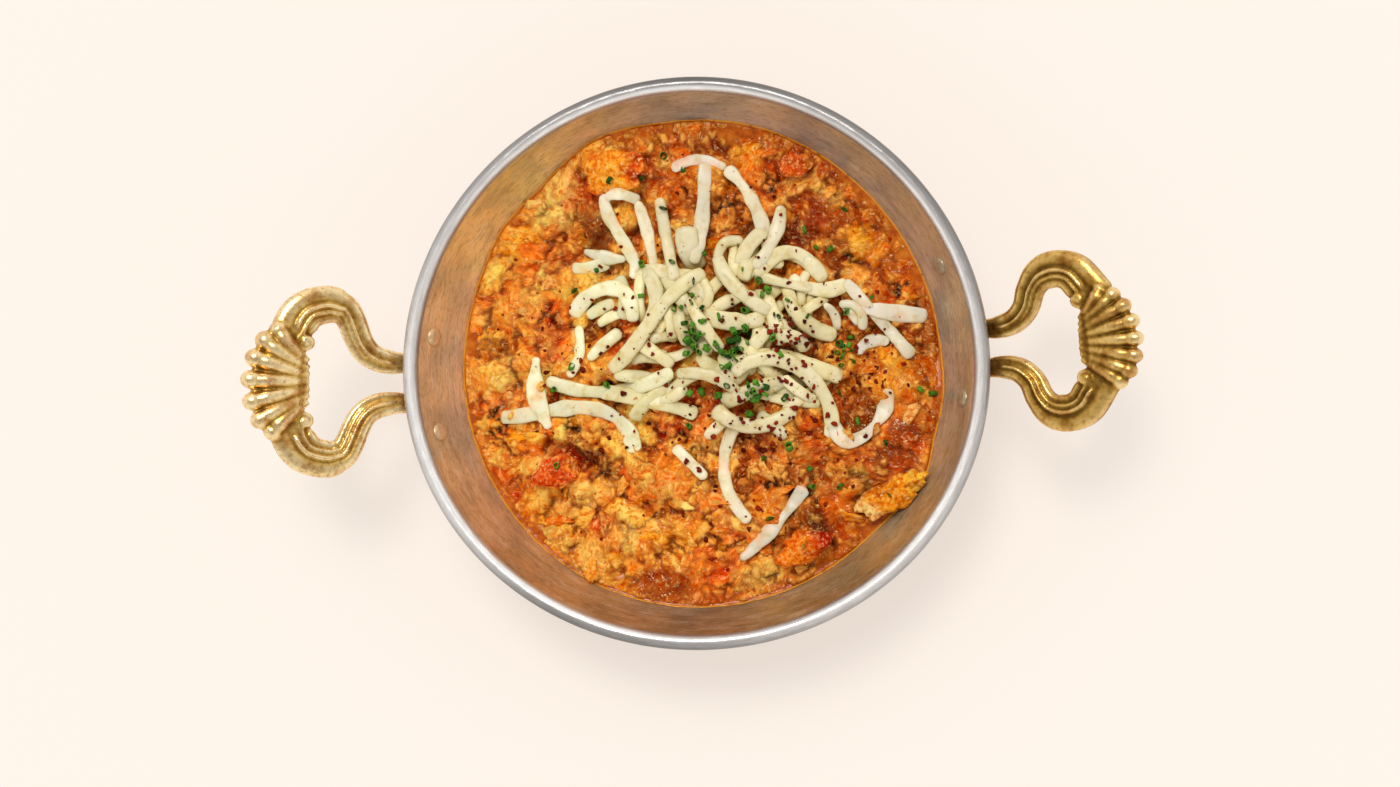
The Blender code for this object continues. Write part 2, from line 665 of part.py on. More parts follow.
class Ground:
    """The height of what lies below, kept for each square millimetre."""

    HALF = 100

    def __init__(self):
        self.top = np.zeros((2 * self.HALF + 1, 2 * self.HALF + 1))

    def around(self, x, y, reach):
        """The part of the map within reach of a point."""
        low_x, high_x = int(x - reach) + self.HALF, int(x + reach + 1) + self.HALF
        low_y, high_y = int(y - reach) + self.HALF, int(y + reach + 1) + self.HALF
        return self.top[low_x : high_x + 1, low_y : high_y + 1]

    def highest(self, x, y, reach):
        return float(self.around(x, y, reach).max())

    def lay(self, x, y, reach, height):
        """Raises the map to a height within reach of a point."""
        part = self.around(x, y, reach)
        np.maximum(part, height, out=part)

    def cover(self, pieces):
        """Raises the map to the tops of whole pieces."""
        for piece in pieces:
            tree = BVHTree.FromObject(piece, bpy.context.evaluated_depsgraph_get())
            for i in range(self.top.shape[0]):
                for j in range(self.top.shape[1]):
                    origin = Vector((i - self.HALF, j - self.HALF, 2 * RIM_TOP)) * MM
                    hit = tree.ray_cast(origin, Vector((0, 0, -1)))[0]
                    if hit:
                        self.top[i, j] = max(self.top[i, j], hit.z / MM)


def through(points):
    """Evenly spaced points on the smooth curve through three or four points."""
    points = np.array(points, float)
    chords = np.r_[0, np.cumsum(np.hypot(*np.diff(points, axis=0).T))]
    order = len(points) - 1
    fine = np.linspace(0, chords[-1], 80)
    curve = np.stack([np.polyval(np.polyfit(chords, points[:, k], order), fine) for k in (0, 1)], axis=1)
    run = np.r_[0, np.cumsum(np.hypot(*np.diff(curve, axis=0).T))]
    stops = np.linspace(0, run[-1], max(4, round(run[-1] / SHRED_STEP) + 1))
    return np.stack([np.interp(stops, run, curve[:, k]) for k in (0, 1)], axis=1)


def fill_shreds():
    """Paths of the strips that fill the heap: a seeded scatter that follows its lie."""
    draw = np.random.default_rng(FILL_SEED)
    paths = []
    for _ in range(FILL_COUNT):
        x = CORE_X + draw.uniform(-0.9, 0.9) * CORE_LONG
        y = CORE_Y + draw.uniform(-0.9, 0.9) * CORE_WIDE
        lie = 100 if y > CORE_Y else 10
        heading = math.radians(lie + draw.uniform(-55, 55))
        bend = math.radians(draw.uniform(-60, 60))
        length = draw.uniform(16, 26)
        steps = np.linspace(-0.5, 0.5, 5)
        turns = heading + bend * steps
        run = np.cumsum(np.stack([np.cos(turns), np.sin(turns)], axis=1), axis=0) * length / 5
        paths.append(run - run.mean(axis=0) + (x, y))
    return paths


def laid_shred(path, floor, thick=SHRED_THICK, wide=SHRED_WIDTH):
    """A strip over a path, sagging until it meets the floor, a function of x and y, and its heights."""
    need = np.array([floor(x, y) for x, y in path])
    low = need.copy()
    for _ in range(12):
        low[1:-1] = np.maximum(need[1:-1], (low[:-2] + low[2:]) / 2 - SHRED_DROOP)
    along = np.gradient(path, axis=0)
    along /= np.hypot(along[:, 0], along[:, 1])[:, None]
    across = [Vector((-ay, ax, 0)) for ax, ay in along]
    centres = [Vector((x, y, z + thick / 2)) for (x, y), z in zip(path, low)]
    count = len(path)
    taper = np.ones(count)
    taper[[0, -1]] = SHRED_TAPER
    ups = [Vector((0, 0, 1))] * count
    rings = tube(centres, across, ups, taper * wide / 2, taper * thick / 2, SHRED_SIDES)
    return lofted(rings)[0], low + thick


def make_cheese(eggs, tops):
    """The heap of strips fused over a low core, with what is sprinkled on it, and the loose strips."""
    strips = bpy.data.collections.new("strips")
    sides = 16
    turns = np.linspace(0, 2 * math.pi, sides, endpoint=False)
    lower, upper = [], []
    for share in (1.0, 0.62, 0.25):
        long, wide = CORE_LONG * share, CORE_WIDE * share
        plan = [(CORE_X + long * math.cos(turn), CORE_Y + wide * math.sin(turn)) for turn in turns]
        bottoms = [eggs.highest(x, y, 5.5) + GAP for x, y in plan]
        lower.append([(x, y, z) for (x, y), z in zip(plan, bottoms)])
        thick = 0.6 + CORE_HIGH * (1 - share**2)
        upper.append([(x, y, z + thick) for (x, y), z in zip(plan, bottoms)])
    core = solid("cheese", lofted(lower[::-1] + upper)[0], "cheese")
    tops.cover([core])

    def in_heap(x, y):
        share = min(1.0, math.hypot((x - CORE_X) / HEAP_LONG, (y - CORE_Y) / HEAP_WIDE))
        settled = EGG_CENTRE + HEAP_HIGH * (1 - share**2) - HEAP_LAYER * layer
        pressed = tops.highest(x, y, 1.5) - SHRED_SINK
        return max(eggs.highest(x, y, SHRED_REACH) + GAP, min(settled, pressed))

    def clear_of_heap(x, y):
        return max(eggs.highest(x, y, SHRED_REACH), tops.highest(x, y, SHRED_REACH)) + GAP

    loose = 0
    for i, path in enumerate(fill_shreds() + [through(points) for points in SHOWN_SHREDS]):
        layer = i % HEAP_LAYERS
        shape, heights = laid_shred(path, in_heap)
        pressed = [tops.highest(x, y, 0.4) - (top - SHRED_THICK) for (x, y), top in zip(path, heights)]
        if max(pressed) > SHRED_TOUCH:
            solid(f"strip_{i}", shape, "cheese", strips)
            lay_along(tops, path, heights, SHRED_WIDTH / 2 - 1.2)
        else:
            shape.free()
            shape, heights = laid_shred(path, clear_of_heap)
            loose += 1
            solid(f"shred_{loose}", shape, "cheese")
            lay_along(eggs, path, heights, SHRED_WIDTH / 2)
    add_toppings(strips, tops, (CHIVES_ON_CHEESE, FLAKES_ON_CHEESE), TOPPING_SEED, True)
    combine(core, strips, "UNION")


def lay_along(ground, path, heights, reach):
    """Records a strip's top along its whole path."""
    for share in np.linspace(0, len(path) - 1, 6 * len(path)):
        i = min(int(share), len(path) - 2)
        t = share - i
        x, y = path[i] * (1 - t) + path[i + 1] * t
        ground.lay(x, y, reach, heights[i] * (1 - t) + heights[i + 1] * t)


def add_toppings(collection, tops, counts, seed, on_heap):
    """Short lengths of chive and flakes of pepper, pressed a little into what they lie on."""
    draw = np.random.default_rng(seed)
    chives, flakes = counts
    for i in range(chives + flakes):
        chive = i < chives
        middle, spread = (CHIVE_MIDDLE, CHIVE_SPREAD) if chive else (FLAKE_MIDDLE, FLAKE_SPREAD)
        while True:
            if on_heap:
                x, y = draw.normal(middle, spread)
                suits = tops.highest(x, y, 0.4) > 0
            else:
                x, y = draw.uniform(-EGG_TOPPINGS_TO, EGG_TOPPINGS_TO, 2)
                beside_heap = math.hypot(x - CORE_X, y - CORE_Y) > EGG_TOPPINGS_FROM
                suits = beside_heap and math.hypot(x, y) < EGG_TOPPINGS_TO
            if suits:
                break
        turn = Matrix.Rotation(draw.uniform(0, math.pi), 4, "Z")
        height = tops.highest(x, y, 0.4)
        if chive:
            lean = Matrix.Rotation(math.radians(draw.uniform(55, 90)), 4, "Y")
            matrix = Matrix.Translation((x, y, height + 0.5)) @ turn @ lean
            half = CHIVE_LENGTH / 2
            shape = turned(((CHIVE_RADIUS, -half), (CHIVE_RADIUS, half)), CHIVE_SIDES, matrix)
        else:
            matrix = Matrix.Translation((x, y, height + 0.1)) @ turn
            flat = FLAKE_RADIUS * 0.6
            shape = turned(((FLAKE_RADIUS, -flat), (FLAKE_RADIUS * 0.7, flat)), 5, matrix)
        solid(f"topping_{i}", shape, "tomato", collection)


def main():
    for old in list(bpy.data.objects):
        bpy.data.objects.remove(old)
    pan = make_pan()
    for side, handle in HANDLES.items():
        cast = make_handle(side)
        for number, (angle, height) in enumerate(handle.rivets, 1):
            make_rivet(f"rivet_{side}_{number}", angle, height, (pan, cast))
    make_sauce()
    menemen = make_menemen()
    bare = Ground()
    bare.cover([menemen])
    sprinkled = bpy.data.collections.new("sprinkled")
    add_toppings(sprinkled, bare, (CHIVES_ON_EGGS, FLAKES_ON_EGGS), TOPPING_SEED + 1, False)
    combine(menemen, sprinkled, "UNION")
    make_chunks(menemen)

    eggs = Ground()
    eggs.cover([menemen, *[bpy.data.objects[name] for name in CHUNKS]])
    make_cheese(eggs, Ground())


main()
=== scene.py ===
"""The pan of menemen as it looks: worn tinned copper, cast brass handles, eggs scrambled with tomato, and
a heap of shredded cheese with chives and pepper flakes, on a plain pale floor.

Lengths are in millimetres and angles in degrees until a piece is made, and then in Blender's metres.
+X points towards the right-hand handle and +Z up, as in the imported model, whose sizes are repeated here.
"""

import math
from typing import NamedTuple

import bmesh
import bpy
import numpy as np
from mathutils import Matrix, Vector

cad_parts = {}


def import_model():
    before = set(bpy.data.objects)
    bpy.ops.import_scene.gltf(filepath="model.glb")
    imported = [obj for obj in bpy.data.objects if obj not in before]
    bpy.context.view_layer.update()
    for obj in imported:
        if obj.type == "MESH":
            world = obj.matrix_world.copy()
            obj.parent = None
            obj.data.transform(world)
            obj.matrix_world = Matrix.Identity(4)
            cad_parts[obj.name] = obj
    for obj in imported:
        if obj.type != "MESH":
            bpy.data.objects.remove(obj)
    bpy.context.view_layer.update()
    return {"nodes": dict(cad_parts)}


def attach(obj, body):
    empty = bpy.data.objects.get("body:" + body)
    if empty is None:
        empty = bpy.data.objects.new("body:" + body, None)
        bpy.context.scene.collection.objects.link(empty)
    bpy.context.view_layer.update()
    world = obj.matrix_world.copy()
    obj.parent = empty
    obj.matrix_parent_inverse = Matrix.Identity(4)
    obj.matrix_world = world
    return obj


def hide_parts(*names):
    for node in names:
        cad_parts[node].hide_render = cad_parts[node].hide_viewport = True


MM = 0.001
GAP = 0.35

# The pan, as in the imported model
RIM_X, RIM_Y = 100.5, 97.2
RIM_TOP = 45.0
RIM_WAVE = 0.55
RIM_LOBES = 3
RIM_LOBE_ANGLE = 90
BEAD_RADIUS = 2.6
SHEET = 1.5
FLARE = math.radians(30)
FLOOR_FILLET = 12.0
FILLET_UP = SHEET + FLOOR_FILLET
BEAD_AXIS = RIM_X - BEAD_RADIUS, RIM_TOP - BEAD_RADIUS
WALL_RUN = (FLOOR_FILLET + (BEAD_AXIS[1] - FILLET_UP) * math.sin(FLARE)) / math.cos(FLARE)
FILLET_OUT = BEAD_AXIS[0] - BEAD_RADIUS - WALL_RUN
PAN_AROUND = 320
DENT_SIZE, DENT_DEPTH = 7.0, 0.07

# The handles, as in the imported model
HANDLE_FOOT = 34.0
HANDLE_RISE = 27.0
HANDLE_BEND = 1.15
FOOT_INSET = 7.0
HANDLE_REACH = 55.0
FOOT_SIDE = 7.1  # from the handle's axis to each foot
SWAN_RADIUS = 11.7  # the curve from foot to arch
ARCH_RADIUS = 9.8
GRIP_OUT = 42.5  # the grip's middle
# share of the way from the grip's middle to a foot, half width and half height of the bar there
BAR_SECTIONS = (
    (0, 8.3, 3.0), (0.22, 7.0, 4.2), (0.36, 6.8, 4.2), (0.46, 6.5, 4.2), (0.56, 4.9, 4.1),
    (0.66, 4.5, 4.0), (0.8, 4.3, 3.7), (0.9, 3.5, 2.8), (1, 3.3, 2.7),
)
CURL_OUT, CURL_SIDE, CURL_RADIUS = 32.6, 13.6, 2.6
RIB_SPREAD = 70  # from the middle rib to the outermost, about the shell's centre
SHELL_OUT, SHELL_LONG = 38.2, 12.2
RIB_ROOT_OUT, RIB_ROOT_SIDE = 33.2, 7.8
RIB_SECTIONS = ((0, 1.3), (0.12, 2.2), (0.6, 2.7), (0.86, 3.2), (1.0, 2.9), (1.09, 1.4))
RIBS_AS_DRAWN = 7.4
PLATE_THICK = 2.4
PLATE_HALF_HEIGHT = 4.3
PLATE_MIDDLE = 34.7
RIVET_HEAD_RADIUS, RIVET_HEAD, RIVET_SHANK, RIVET_SIDES = 3.2, 1.2, 1.5, 40


class Handle(NamedTuple):
    """What tells one handle from the other. Its lengths are multiplied by its size."""

    angle: float  # round the pan, of the middle between its feet
    turn: float  # of its axis about that point, from the pan's radius
    size: float
    arch_out: float
    arch_side: float
    arch_from: float  # the angle at which the arch starts, on the side towards the pan
    shell_wide: float
    shell_turn: float
    ribs: int
    plate: tuple  # the angles that its plate spans
    rivets: tuple  # (angle, height) of each


HANDLES = {
    "left": Handle(
        angle=183.5, turn=-4.5, size=1.0, arch_out=26.4, arch_side=16.9, arch_from=135, shell_wide=19.6,
        shell_turn=-2, ribs=7, plate=(167.5, 200.5), rivets=((173.8, 36.3), (194.5, 36.3)),
    ),
    "right": Handle(
        angle=3.2, turn=1.9, size=0.95, arch_out=25.1, arch_side=15.6, arch_from=160, shell_wide=18.0,
        shell_turn=7, ribs=8, plate=(-12.5, 28.0), rivets=((-7.0, 36.3), (21.9, 34.4)),
    ),
}

# The food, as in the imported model
SAUCE_LEVEL = 22.0
SAUCE_DEPTH = 7.0
SAUCE_WIDTH = 1.8
SAUCE_POOLS = ((30, 18, 4.0), (180, 25, 1.6), (265, 14, 3.0), (315, 8, 2.5))
EGG_CENTRE = 26.8
EGG_EDGE = SAUCE_LEVEL + 0.6
EGG_CLIMBS = ((85, 32, 5.0), (115, 13, 5.0), (145, 11, 2.5), (262, 42, 3.8), (333, 9, 6.0), (352, 9, 2.6))
EGG_OFF_WALL = 1.2
CURD_SEED = 7
CURD_COUNT = 110
CURD_REACH = 82
CURD_APART = 9.0
CURD_LEVEL = 1.6
FOLDS = (
    (-15, -39, 24, 6, -36, 6.0), (-24, -52, 15, 5, -30, 5.0), (-43, -32, 14, 4, -25, -3.5),
    (-64, 24, 13, 9, 70, 5.5), (-60, -23, 10, 8, 30, 5.0), (-50, 57, 15, 9, 50, 5.5),
    (-35, 73, 12, 8, 20, 6.0), (-28, -60, 10, 8, 0, 5.0), (26, -70, 10, 7, 15, 5.0),
    (65, -4, 13, 9, 80, 5.5), (56, -36, 12, 8, 40, 4.5), (50, 48, 14, 7, -45, 4.5),
)
CHUNKS = {
    "yolk_chunk": ((-27.5, 66.5, 33.0), (10.0, 7.0, 3.6), 8, -6, 1),
    "tomato_back": ((34.0, 69.0, 30.0), (6.2, 4.4, 3.4), 20, 8, 2),
    "tomato_left": ((-50.0, -37.0, 28.4), (9.6, 6.0, 4.2), 25, 5, 3),
    "tomato_front": ((36.0, -62.0, 28.6), (10.0, 5.6, 4.4), 28, -8, 4),
    "egg_flap": ((67.5, -44.5, 29.3), (13.0, 5.2, 1.6), 33, -14, 5),
}
CHUNK_LUMPS = 0.08
SHRED_WIDTH, SHRED_THICK = 5.2, 2.6
SHRED_STEP = 6.2
SHRED_SINK = 1.1
SHRED_DROOP = 1.3
CORE_X, CORE_Y = 9.0, 9.0
CORE_LONG, CORE_WIDE, CORE_HIGH = 33.0, 25.0, 1.6
HEAP_LONG, HEAP_WIDE = 46.0, 38.0
HEAP_HIGH = 6.4
HEAP_LAYERS, HEAP_LAYER = 3, 0.9
FILL_SEED = 11
FILL_COUNT = 20
SHOWN_SHREDS = (
    ((-44, 17), (-37, 25), (-30, 27), (-22, 15)), ((-20, 57), (-32, 57), (-28, 47), (-22, 30)),
    ((-21, 57), (-18, 48), (-15, 34)), ((-13, 58), (-11, 45), (-7, 29)), ((3, 70), (2, 54), (-1, 35)),
    ((10, 68), (17, 60), (24, 38)), ((29, 55), (27, 45), (20, 33)), ((21, 30), (31, 39), (43, 31)),
    ((-20, 33), (-8, 31), (4, 22)), ((3, 32), (-9, 23), (-19, 10), (-30, -2)),
    ((7, 38), (12, 29), (27, 18)), ((31, 24), (37, 15), (48, 10)), ((-53, -5), (-31, -9), (-8, -2)),
    ((-34, -9), (-17, -12), (0, -17)), ((-7, -3), (6, -4), (17, -12)), ((6, -15), (18, -21), (34, -15)),
    ((13, -3), (29, 2), (42, -7), (46, -25)), ((32, 30), (42, 26), (52, 28)),
    ((51, 29), (60, 19), (74, 3)), ((56, 20), (69, 18), (79, 17)), ((-9, 68), (0, 71), (10, 68)),
    ((14, -19), (9, -36), (18, -54)), ((46, -15), (54, -26), (60, -22), (66, -8)),
    ((-42, 14), (-41, 5), (-45, -4)), ((-44, 34), (-38, 34), (-31, 36)),
    ((-40, 40), (-34, 38), (-25, 37)), ((-70, -18), (-54, -16), (-36, -15), (-21, -30)),
    ((-57, 3), (-57, -8), (-52, -22)), ((37, -42), (29, -53), (15, -67)),
    ((-8, -28), (-3, -33), (3, -39)), ((55, 4), (59, 8), (66, 8)),
)

# How the eggs are coloured: sRGB colours of what shows in them
PALETTE = {
    "cream": (255, 220, 128),
    "golden": (255, 168, 24),
    "orange": (240, 120, 8),
    "amber": (192, 78, 3),
    "red": (222, 52, 2),
    "brown": (126, 48, 2),
    "olive": (128, 80, 10),
    "rose": (208, 108, 34),
}
# x, y, half length, half width, heading, colour and strength of each patch
PATCHES = (
    (-51, 57, 13, 9, 50, "cream", 0.8), (-34, 75, 13, 6, 20, "golden", 0.8),
    (-42, 64, 5, 4, 0, "olive", 0.7), (-35, 46, 10, 8, -60, "brown", 0.8),
    (-47, 36, 9, 5, 20, "red", 0.6), (-62, 43, 12, 7, 60, "golden", 0.6),
    (-57, 29, 8, 6, 40, "cream", 0.5), (-62, 16, 6, 4, 0, "red", 0.7), (-36, 13, 6, 4, 0, "brown", 0.8),
    (20, 76, 14, 6, -10, "golden", 0.6), (31, 71, 7, 5, 0, "red", 0.5),
    (22, 62, 13, 9, -40, "orange", 0.5), (8, 50, 8, 7, 0, "rose", 0.6),
    (44, 60, 10, 5, -50, "cream", 0.6), (44, 50, 8, 9, -60, "amber", 0.7),
    (57, 42, 9, 6, -50, "golden", 0.5), (47, 36, 7, 4, -60, "brown", 0.8),
    (70, 30, 10, 5, -65, "golden", 0.6), (-67, -6, 9, 7, 80, "cream", 0.6),
    (-60, -26, 11, 8, 30, "golden", 0.7), (-40, -31, 10, 4, -25, "brown", 0.9),
    (-50, -36, 12, 7, 10, "red", 0.6), (-50, -47, 14, 9, -50, "golden", 0.4),
    (-30, -38, 8, 5, -30, "olive", 0.6), (-25, -58, 8, 8, 0, "cream", 0.8),
    (-36, -65, 12, 7, -30, "orange", 0.5), (-17, -46, 5, 4, 0, "olive", 0.7),
    (-11, -44, 12, 4, -35, "cream", 0.5), (-8, -62, 8, 7, 0, "golden", 0.5),
    (-12, -76, 15, 6, -5, "amber", 0.8), (27, -28, 16, 12, 0, "rose", 0.3),
    (50, -32, 8, 6, 30, "golden", 0.6), (71, -27, 9, 12, 0, "amber", 0.7),
    (56, -39, 7, 5, -40, "olive", 0.8), (65, -2, 10, 8, 80, "golden", 0.4),
    (72, -16, 7, 4, 0, "cream", 0.4), (44, -55, 8, 5, -20, "brown", 0.6),
    (26, -70, 9, 6, 20, "cream", 0.8), (3, -74, 8, 4, 0, "golden", 0.6),
)
# x, y, half length, half width and heading of where the sauce stands over the curds
SAUCY = (
    (-12, -76, 16, 6, -5), (71, -27, 9, 12, 0), (44, 50, 8, 10, -60), (72, 38, 6, 16, -60),
    (20, 78, 14, 5, -10), (-35, 46, 9, 6, -60), (-74, 6, 5, 14, 90), (47, 36, 7, 4, -60),
)

TOPPING_SEED = 5
# Seeds of what is only here: the curds, the torn bits, the chives, the flakes and the strips of cheese
EGG_SEED, TORN_SEED, CHIVE_SEED, FLAKE_SEED, STRIP_SEED = 17, 29, 41, 43, 900
FOOD_REACH, FLAKE_REACH = 86, 76  # from the middle of the pan
CHIVES_ON_CHEESE, CHIVES_ON_EGGS = 14, 10
CHIVE_MIDDLE, CHIVE_SPREAD = (12, 8), 13
EGG_TOPPINGS_FROM, EGG_TOPPINGS_TO = 40, 70


# ---------------------------------------------------------------- colours and noise


def linear(colour):
    """Linear RGB from an sRGB colour of 0 to 255."""
    share = np.asarray(colour, float) / 255
    return np.where(share <= 0.04045, share / 12.92, ((share + 0.055) / 1.055) ** 2.4)


def hashed(column, row, seed):
    """A number from 0 to 1 for each whole-numbered cell."""
    mixed = (column * 374761393 + row * 668265263 + seed * 974634777) & 0xFFFFFFFF
    mixed = ((mixed ^ (mixed >> 13)) * 1274126177) & 0xFFFFFFFF
    return ((mixed ^ (mixed >> 16)) & 0xFFFFFF) / 0xFFFFFF


def ease(share):
    """A share of 0 to 1, made to start and to end gently."""
    return share * share * (3 - 2 * share)


def smooth(low, high, value):
    """0 below low, 1 above high, and a smooth rise between them."""
    return ease(np.clip((value - low) / (high - low), 0, 1))


def blend(first, second, share):
    """The first at a share of 0, and the second at 1."""
    return first * (1 - share) + second * share


def tinted(colours, tone, share):
    """Colours with a share of a tone over each."""
    return blend(colours, tone, share[..., None])


def tones_between(value, keys, tones, period=None):
    """The linear colour at each value, from the sRGB tones at the keys."""
    tones = linear(tones)
    return np.stack([np.interp(value, keys, tones[:, k], period=period) for k in range(3)], axis=-1)


def waves(x, y, size, seed, octaves=3):
    """Smooth noise from about -1 to 1, its largest features about size across."""
    total, weight, part = 0.0, 0.0, 1.0
    for octave in range(octaves):
        u, v = x / size + 31.7 * octave, y / size - 12.3 * octave
        column, row = np.floor(u).astype(np.int64), np.floor(v).astype(np.int64)
        across, up = ease(u - column), ease(v - row)
        corners = [[hashed(column + i, row + j, seed) for i in (0, 1)] for j in (0, 1)]
        below, above = (blend(*pair, across) for pair in corners)
        total = total + part * (2 * blend(below, above, up) - 1)
        weight += part
        part *= 0.5
        size *= 0.5
    return total / weight


def turned(x, y, middle_x, middle_y, heading):
    """How far points lie from a middle, along a heading in radians and across it."""
    east, north = x - middle_x, y - middle_y
    cosine, sine = math.cos(heading), math.sin(heading)
    return east * cosine + north * sine, north * cosine - east * sine


def patch(x, y, middle_x, middle_y, long, wide, heading):
    """1 in the middle of an oval, falling smoothly to 0 at about its edge."""
    along, across = turned(x, y, middle_x, middle_y, math.radians(heading))
    return 1 - smooth(0.45, 1.15, np.hypot(along / long, across / wide))


def full_turn(count):
    """Evenly spaced angles in radians, once round."""
    return np.linspace(0, 2 * math.pi, count, endpoint=False)


# ---------------------------------------------------------------- materials


class Look:
    """A material around one Principled shader, with short calls for the nodes that feed it."""

    def __init__(self, name, **constants):
        self.material = bpy.data.materials.new(name)
        self.material.use_nodes = True
        self.tree = self.material.node_tree
        self.shader = self.tree.nodes["Principled BSDF"]
        for socket, value in constants.items():
            self.shader.inputs[socket.replace("_", " ")].default_value = value

    def node(self, kind, inputs=(), **settings):
        """A node, with settings as its properties and inputs as (socket, value or output) pairs."""
        made = self.tree.nodes.new(f"ShaderNode{kind}")
        for key, value in settings.items():
            setattr(made, key, value)
        for socket, value in inputs:
            if isinstance(value, bpy.types.NodeSocket):
                self.tree.links.new(value, made.inputs[socket])
            else:
                made.inputs[socket].default_value = value
        return made

    def attribute(self, name, output="Fac"):
        return self.node("Attribute", attribute_name=name).outputs[output]

    def tint(self):
        """The colour that is kept with each point of the mesh."""
        return self.attribute("tint", "Color")

    def place(self, stretch=(1, 1, 1), source=None):
        """Coordinates in millimetres, stretched along each axis."""
        source = source or self.node("TexCoord").outputs["Object"]
        scale = tuple(1000 * s for s in stretch)
        return self.node("Mapping", (("Vector", source), ("Scale", scale))).outputs["Vector"]

    def noise(self, size, detail=3.0, roughness=0.5, vector=None, output="Fac"):
        """Noise with features about size millimetres across."""
        inputs = [("Scale", 1 / size), ("Detail", detail), ("Roughness", roughness)]
        inputs.append(("Vector", vector or self.place()))
        return self.node("TexNoise", inputs).outputs[output]

    def spots(self, size, vector, feature="F1"):
        inputs = [("Scale", 1 / size), ("Vector", vector)]
        return self.node("TexVoronoi", inputs, feature=feature).outputs["Distance"]

    def range(self, value, low, high, to_low=0.0, to_high=1.0):
        sockets = ("Value", "From Min", "From Max", "To Min", "To Max")
        return self.node("MapRange", zip(sockets, (value, low, high, to_low, to_high))).outputs["Result"]

    def maths(self, operation, first, second):
        return self.node("Math", ((0, first), (1, second)), operation=operation).outputs[0]

    def mix(self, factor, first, second, kind="MIX"):
        inputs = ((0, factor), (6, self.rgba(first)), (7, self.rgba(second)))
        return self.node("Mix", inputs, data_type="RGBA", blend_type=kind).outputs[2]

    def times(self, colour, tone):
        return self.mix(1.0, colour, tone, "MULTIPLY")

    def over(self, colour, value, low, high, most, tone):
        """A colour with a tone over it: none of it where a value is low, the most where it is high."""
        return self.mix(self.range(value, low, high, 0.0, most), colour, tone)

    @staticmethod
    def rgba(colour):
        return colour if isinstance(colour, bpy.types.NodeSocket) else (*linear(colour), 1)

    def bump(self, height, strength, distance, normal=None):
        """A normal from a height of 0 to 1, which stands for distance millimetres."""
        inputs = [("Height", height), ("Strength", strength), ("Distance", distance * MM)]
        if normal:
            inputs.append(("Normal", normal))
        return self.node("Bump", inputs).outputs["Normal"]

    def feed(self, socket, value):
        self.tree.links.new(value, self.shader.inputs[socket])


# ---------------------------------------------------------------- making meshes


def linked(name, data):
    """A new object in the scene."""
    made = bpy.data.objects.new(name, data)
    bpy.context.scene.collection.objects.link(made)
    return made


def mesh_object(name, points, faces, material, colours=None, **more):
    """A smooth-shaded object in metres from points in millimetres, with more values for each of them."""
    mesh = bpy.data.meshes.new(name)
    mesh.from_pydata((np.asarray(points, float) * MM).tolist(), [], faces)
    mesh.validate()
    mesh.polygons.foreach_set("use_smooth", np.ones(len(mesh.polygons), bool))
    if colours is not None:
        rgba = np.ones((len(points), 4), np.float32)
        rgba[:, :3] = colours
        mesh.color_attributes.new("tint", "FLOAT_COLOR", "POINT").data.foreach_set("color", rgba.ravel())
    for key, values in more.items():
        values = np.asarray(values, np.float32)
        kind, field = ("FLOAT", "value") if values.ndim == 1 else ("FLOAT_VECTOR", "vector")
        mesh.attributes.new(key, kind, "POINT").data.foreach_set(field, values.ravel())
    mesh.materials.append(material)
    return linked(name, mesh)


def read_all(data, field, width, kind=float):
    """A field of all the points or edges of a mesh, as rows of numbers."""
    found = np.zeros(len(data) * width, kind)
    data.foreach_get(field, found)
    return found.reshape(-1, width)


def round_ball(subdivisions):
    """(points, faces) of a ball of radius 1."""
    shape = bmesh.new()
    bmesh.ops.create_icosphere(shape, subdivisions=subdivisions, radius=1.0)
    points = np.array([vert.co for vert in shape.verts])
    faces = [[vert.index for vert in face.verts] for face in shape.faces]
    shape.free()
    return points, faces


def grid_faces(rows, columns, closed=False, offset=0):
    """Quads of a grid of points numbered row by row. When closed, each row runs on into its own start."""
    row = np.arange(rows - 1)[:, None]
    column = np.arange(columns if closed else columns - 1)[None, :]
    following = (column + 1) % columns
    corners = [row * columns + column, row * columns + following, (row + 1) * columns + following]
    corners.append((row + 1) * columns + column)
    return (np.stack(corners, axis=-1).reshape(-1, 4) + offset).tolist()


def tube_faces(rows, sides):
    """The quads of a tube and its two end faces."""
    last = (rows - 1) * sides
    return grid_faces(rows, sides, True) + [list(range(sides)), list(range(last, last + sides))]


def hoop_faces(rows, sides):
    """The quads of a tube whose last ring runs on into the first."""
    last = (rows - 1) * sides
    closing = [[last + i, last + (i + 1) % sides, (i + 1) % sides, i] for i in range(sides)]
    return grid_faces(rows, sides, True) + closing


def out_of_round(angle, height):
    """The factor on the pan's radius at an angle in radians: 1 at the base, the rim's form at the top."""
    oval = RIM_X * RIM_Y / np.hypot(RIM_Y * np.cos(angle), RIM_X * np.sin(angle))
    wave = RIM_WAVE * np.cos(RIM_LOBES * (angle - math.radians(RIM_LOBE_ANGLE)))
    return 1 + ((oval + wave) / RIM_X - 1) * height / RIM_TOP


def wall_radius(height, offset=0.0):
    """The wall's radius at a height, on the surface that lies offset outside the inner face."""
    radius = FLOOR_FILLET + offset
    below = np.clip(FILLET_UP - height, 0, radius)
    straight = FILLET_OUT + (radius + (height - FILLET_UP) * math.sin(FLARE)) / math.cos(FLARE)
    rounded = FILLET_OUT + np.sqrt(radius**2 - below**2)
    return np.where(height > FILLET_UP - radius * math.sin(FLARE), straight, rounded)


def ring(radius, height, angles):
    """Points round the pan's axis, at a radius and a height that may differ from angle to angle."""
    radius = radius * out_of_round(angles, height)
    return np.stack([radius * np.cos(angles), radius * np.sin(angles), height + 0 * angles], axis=1)


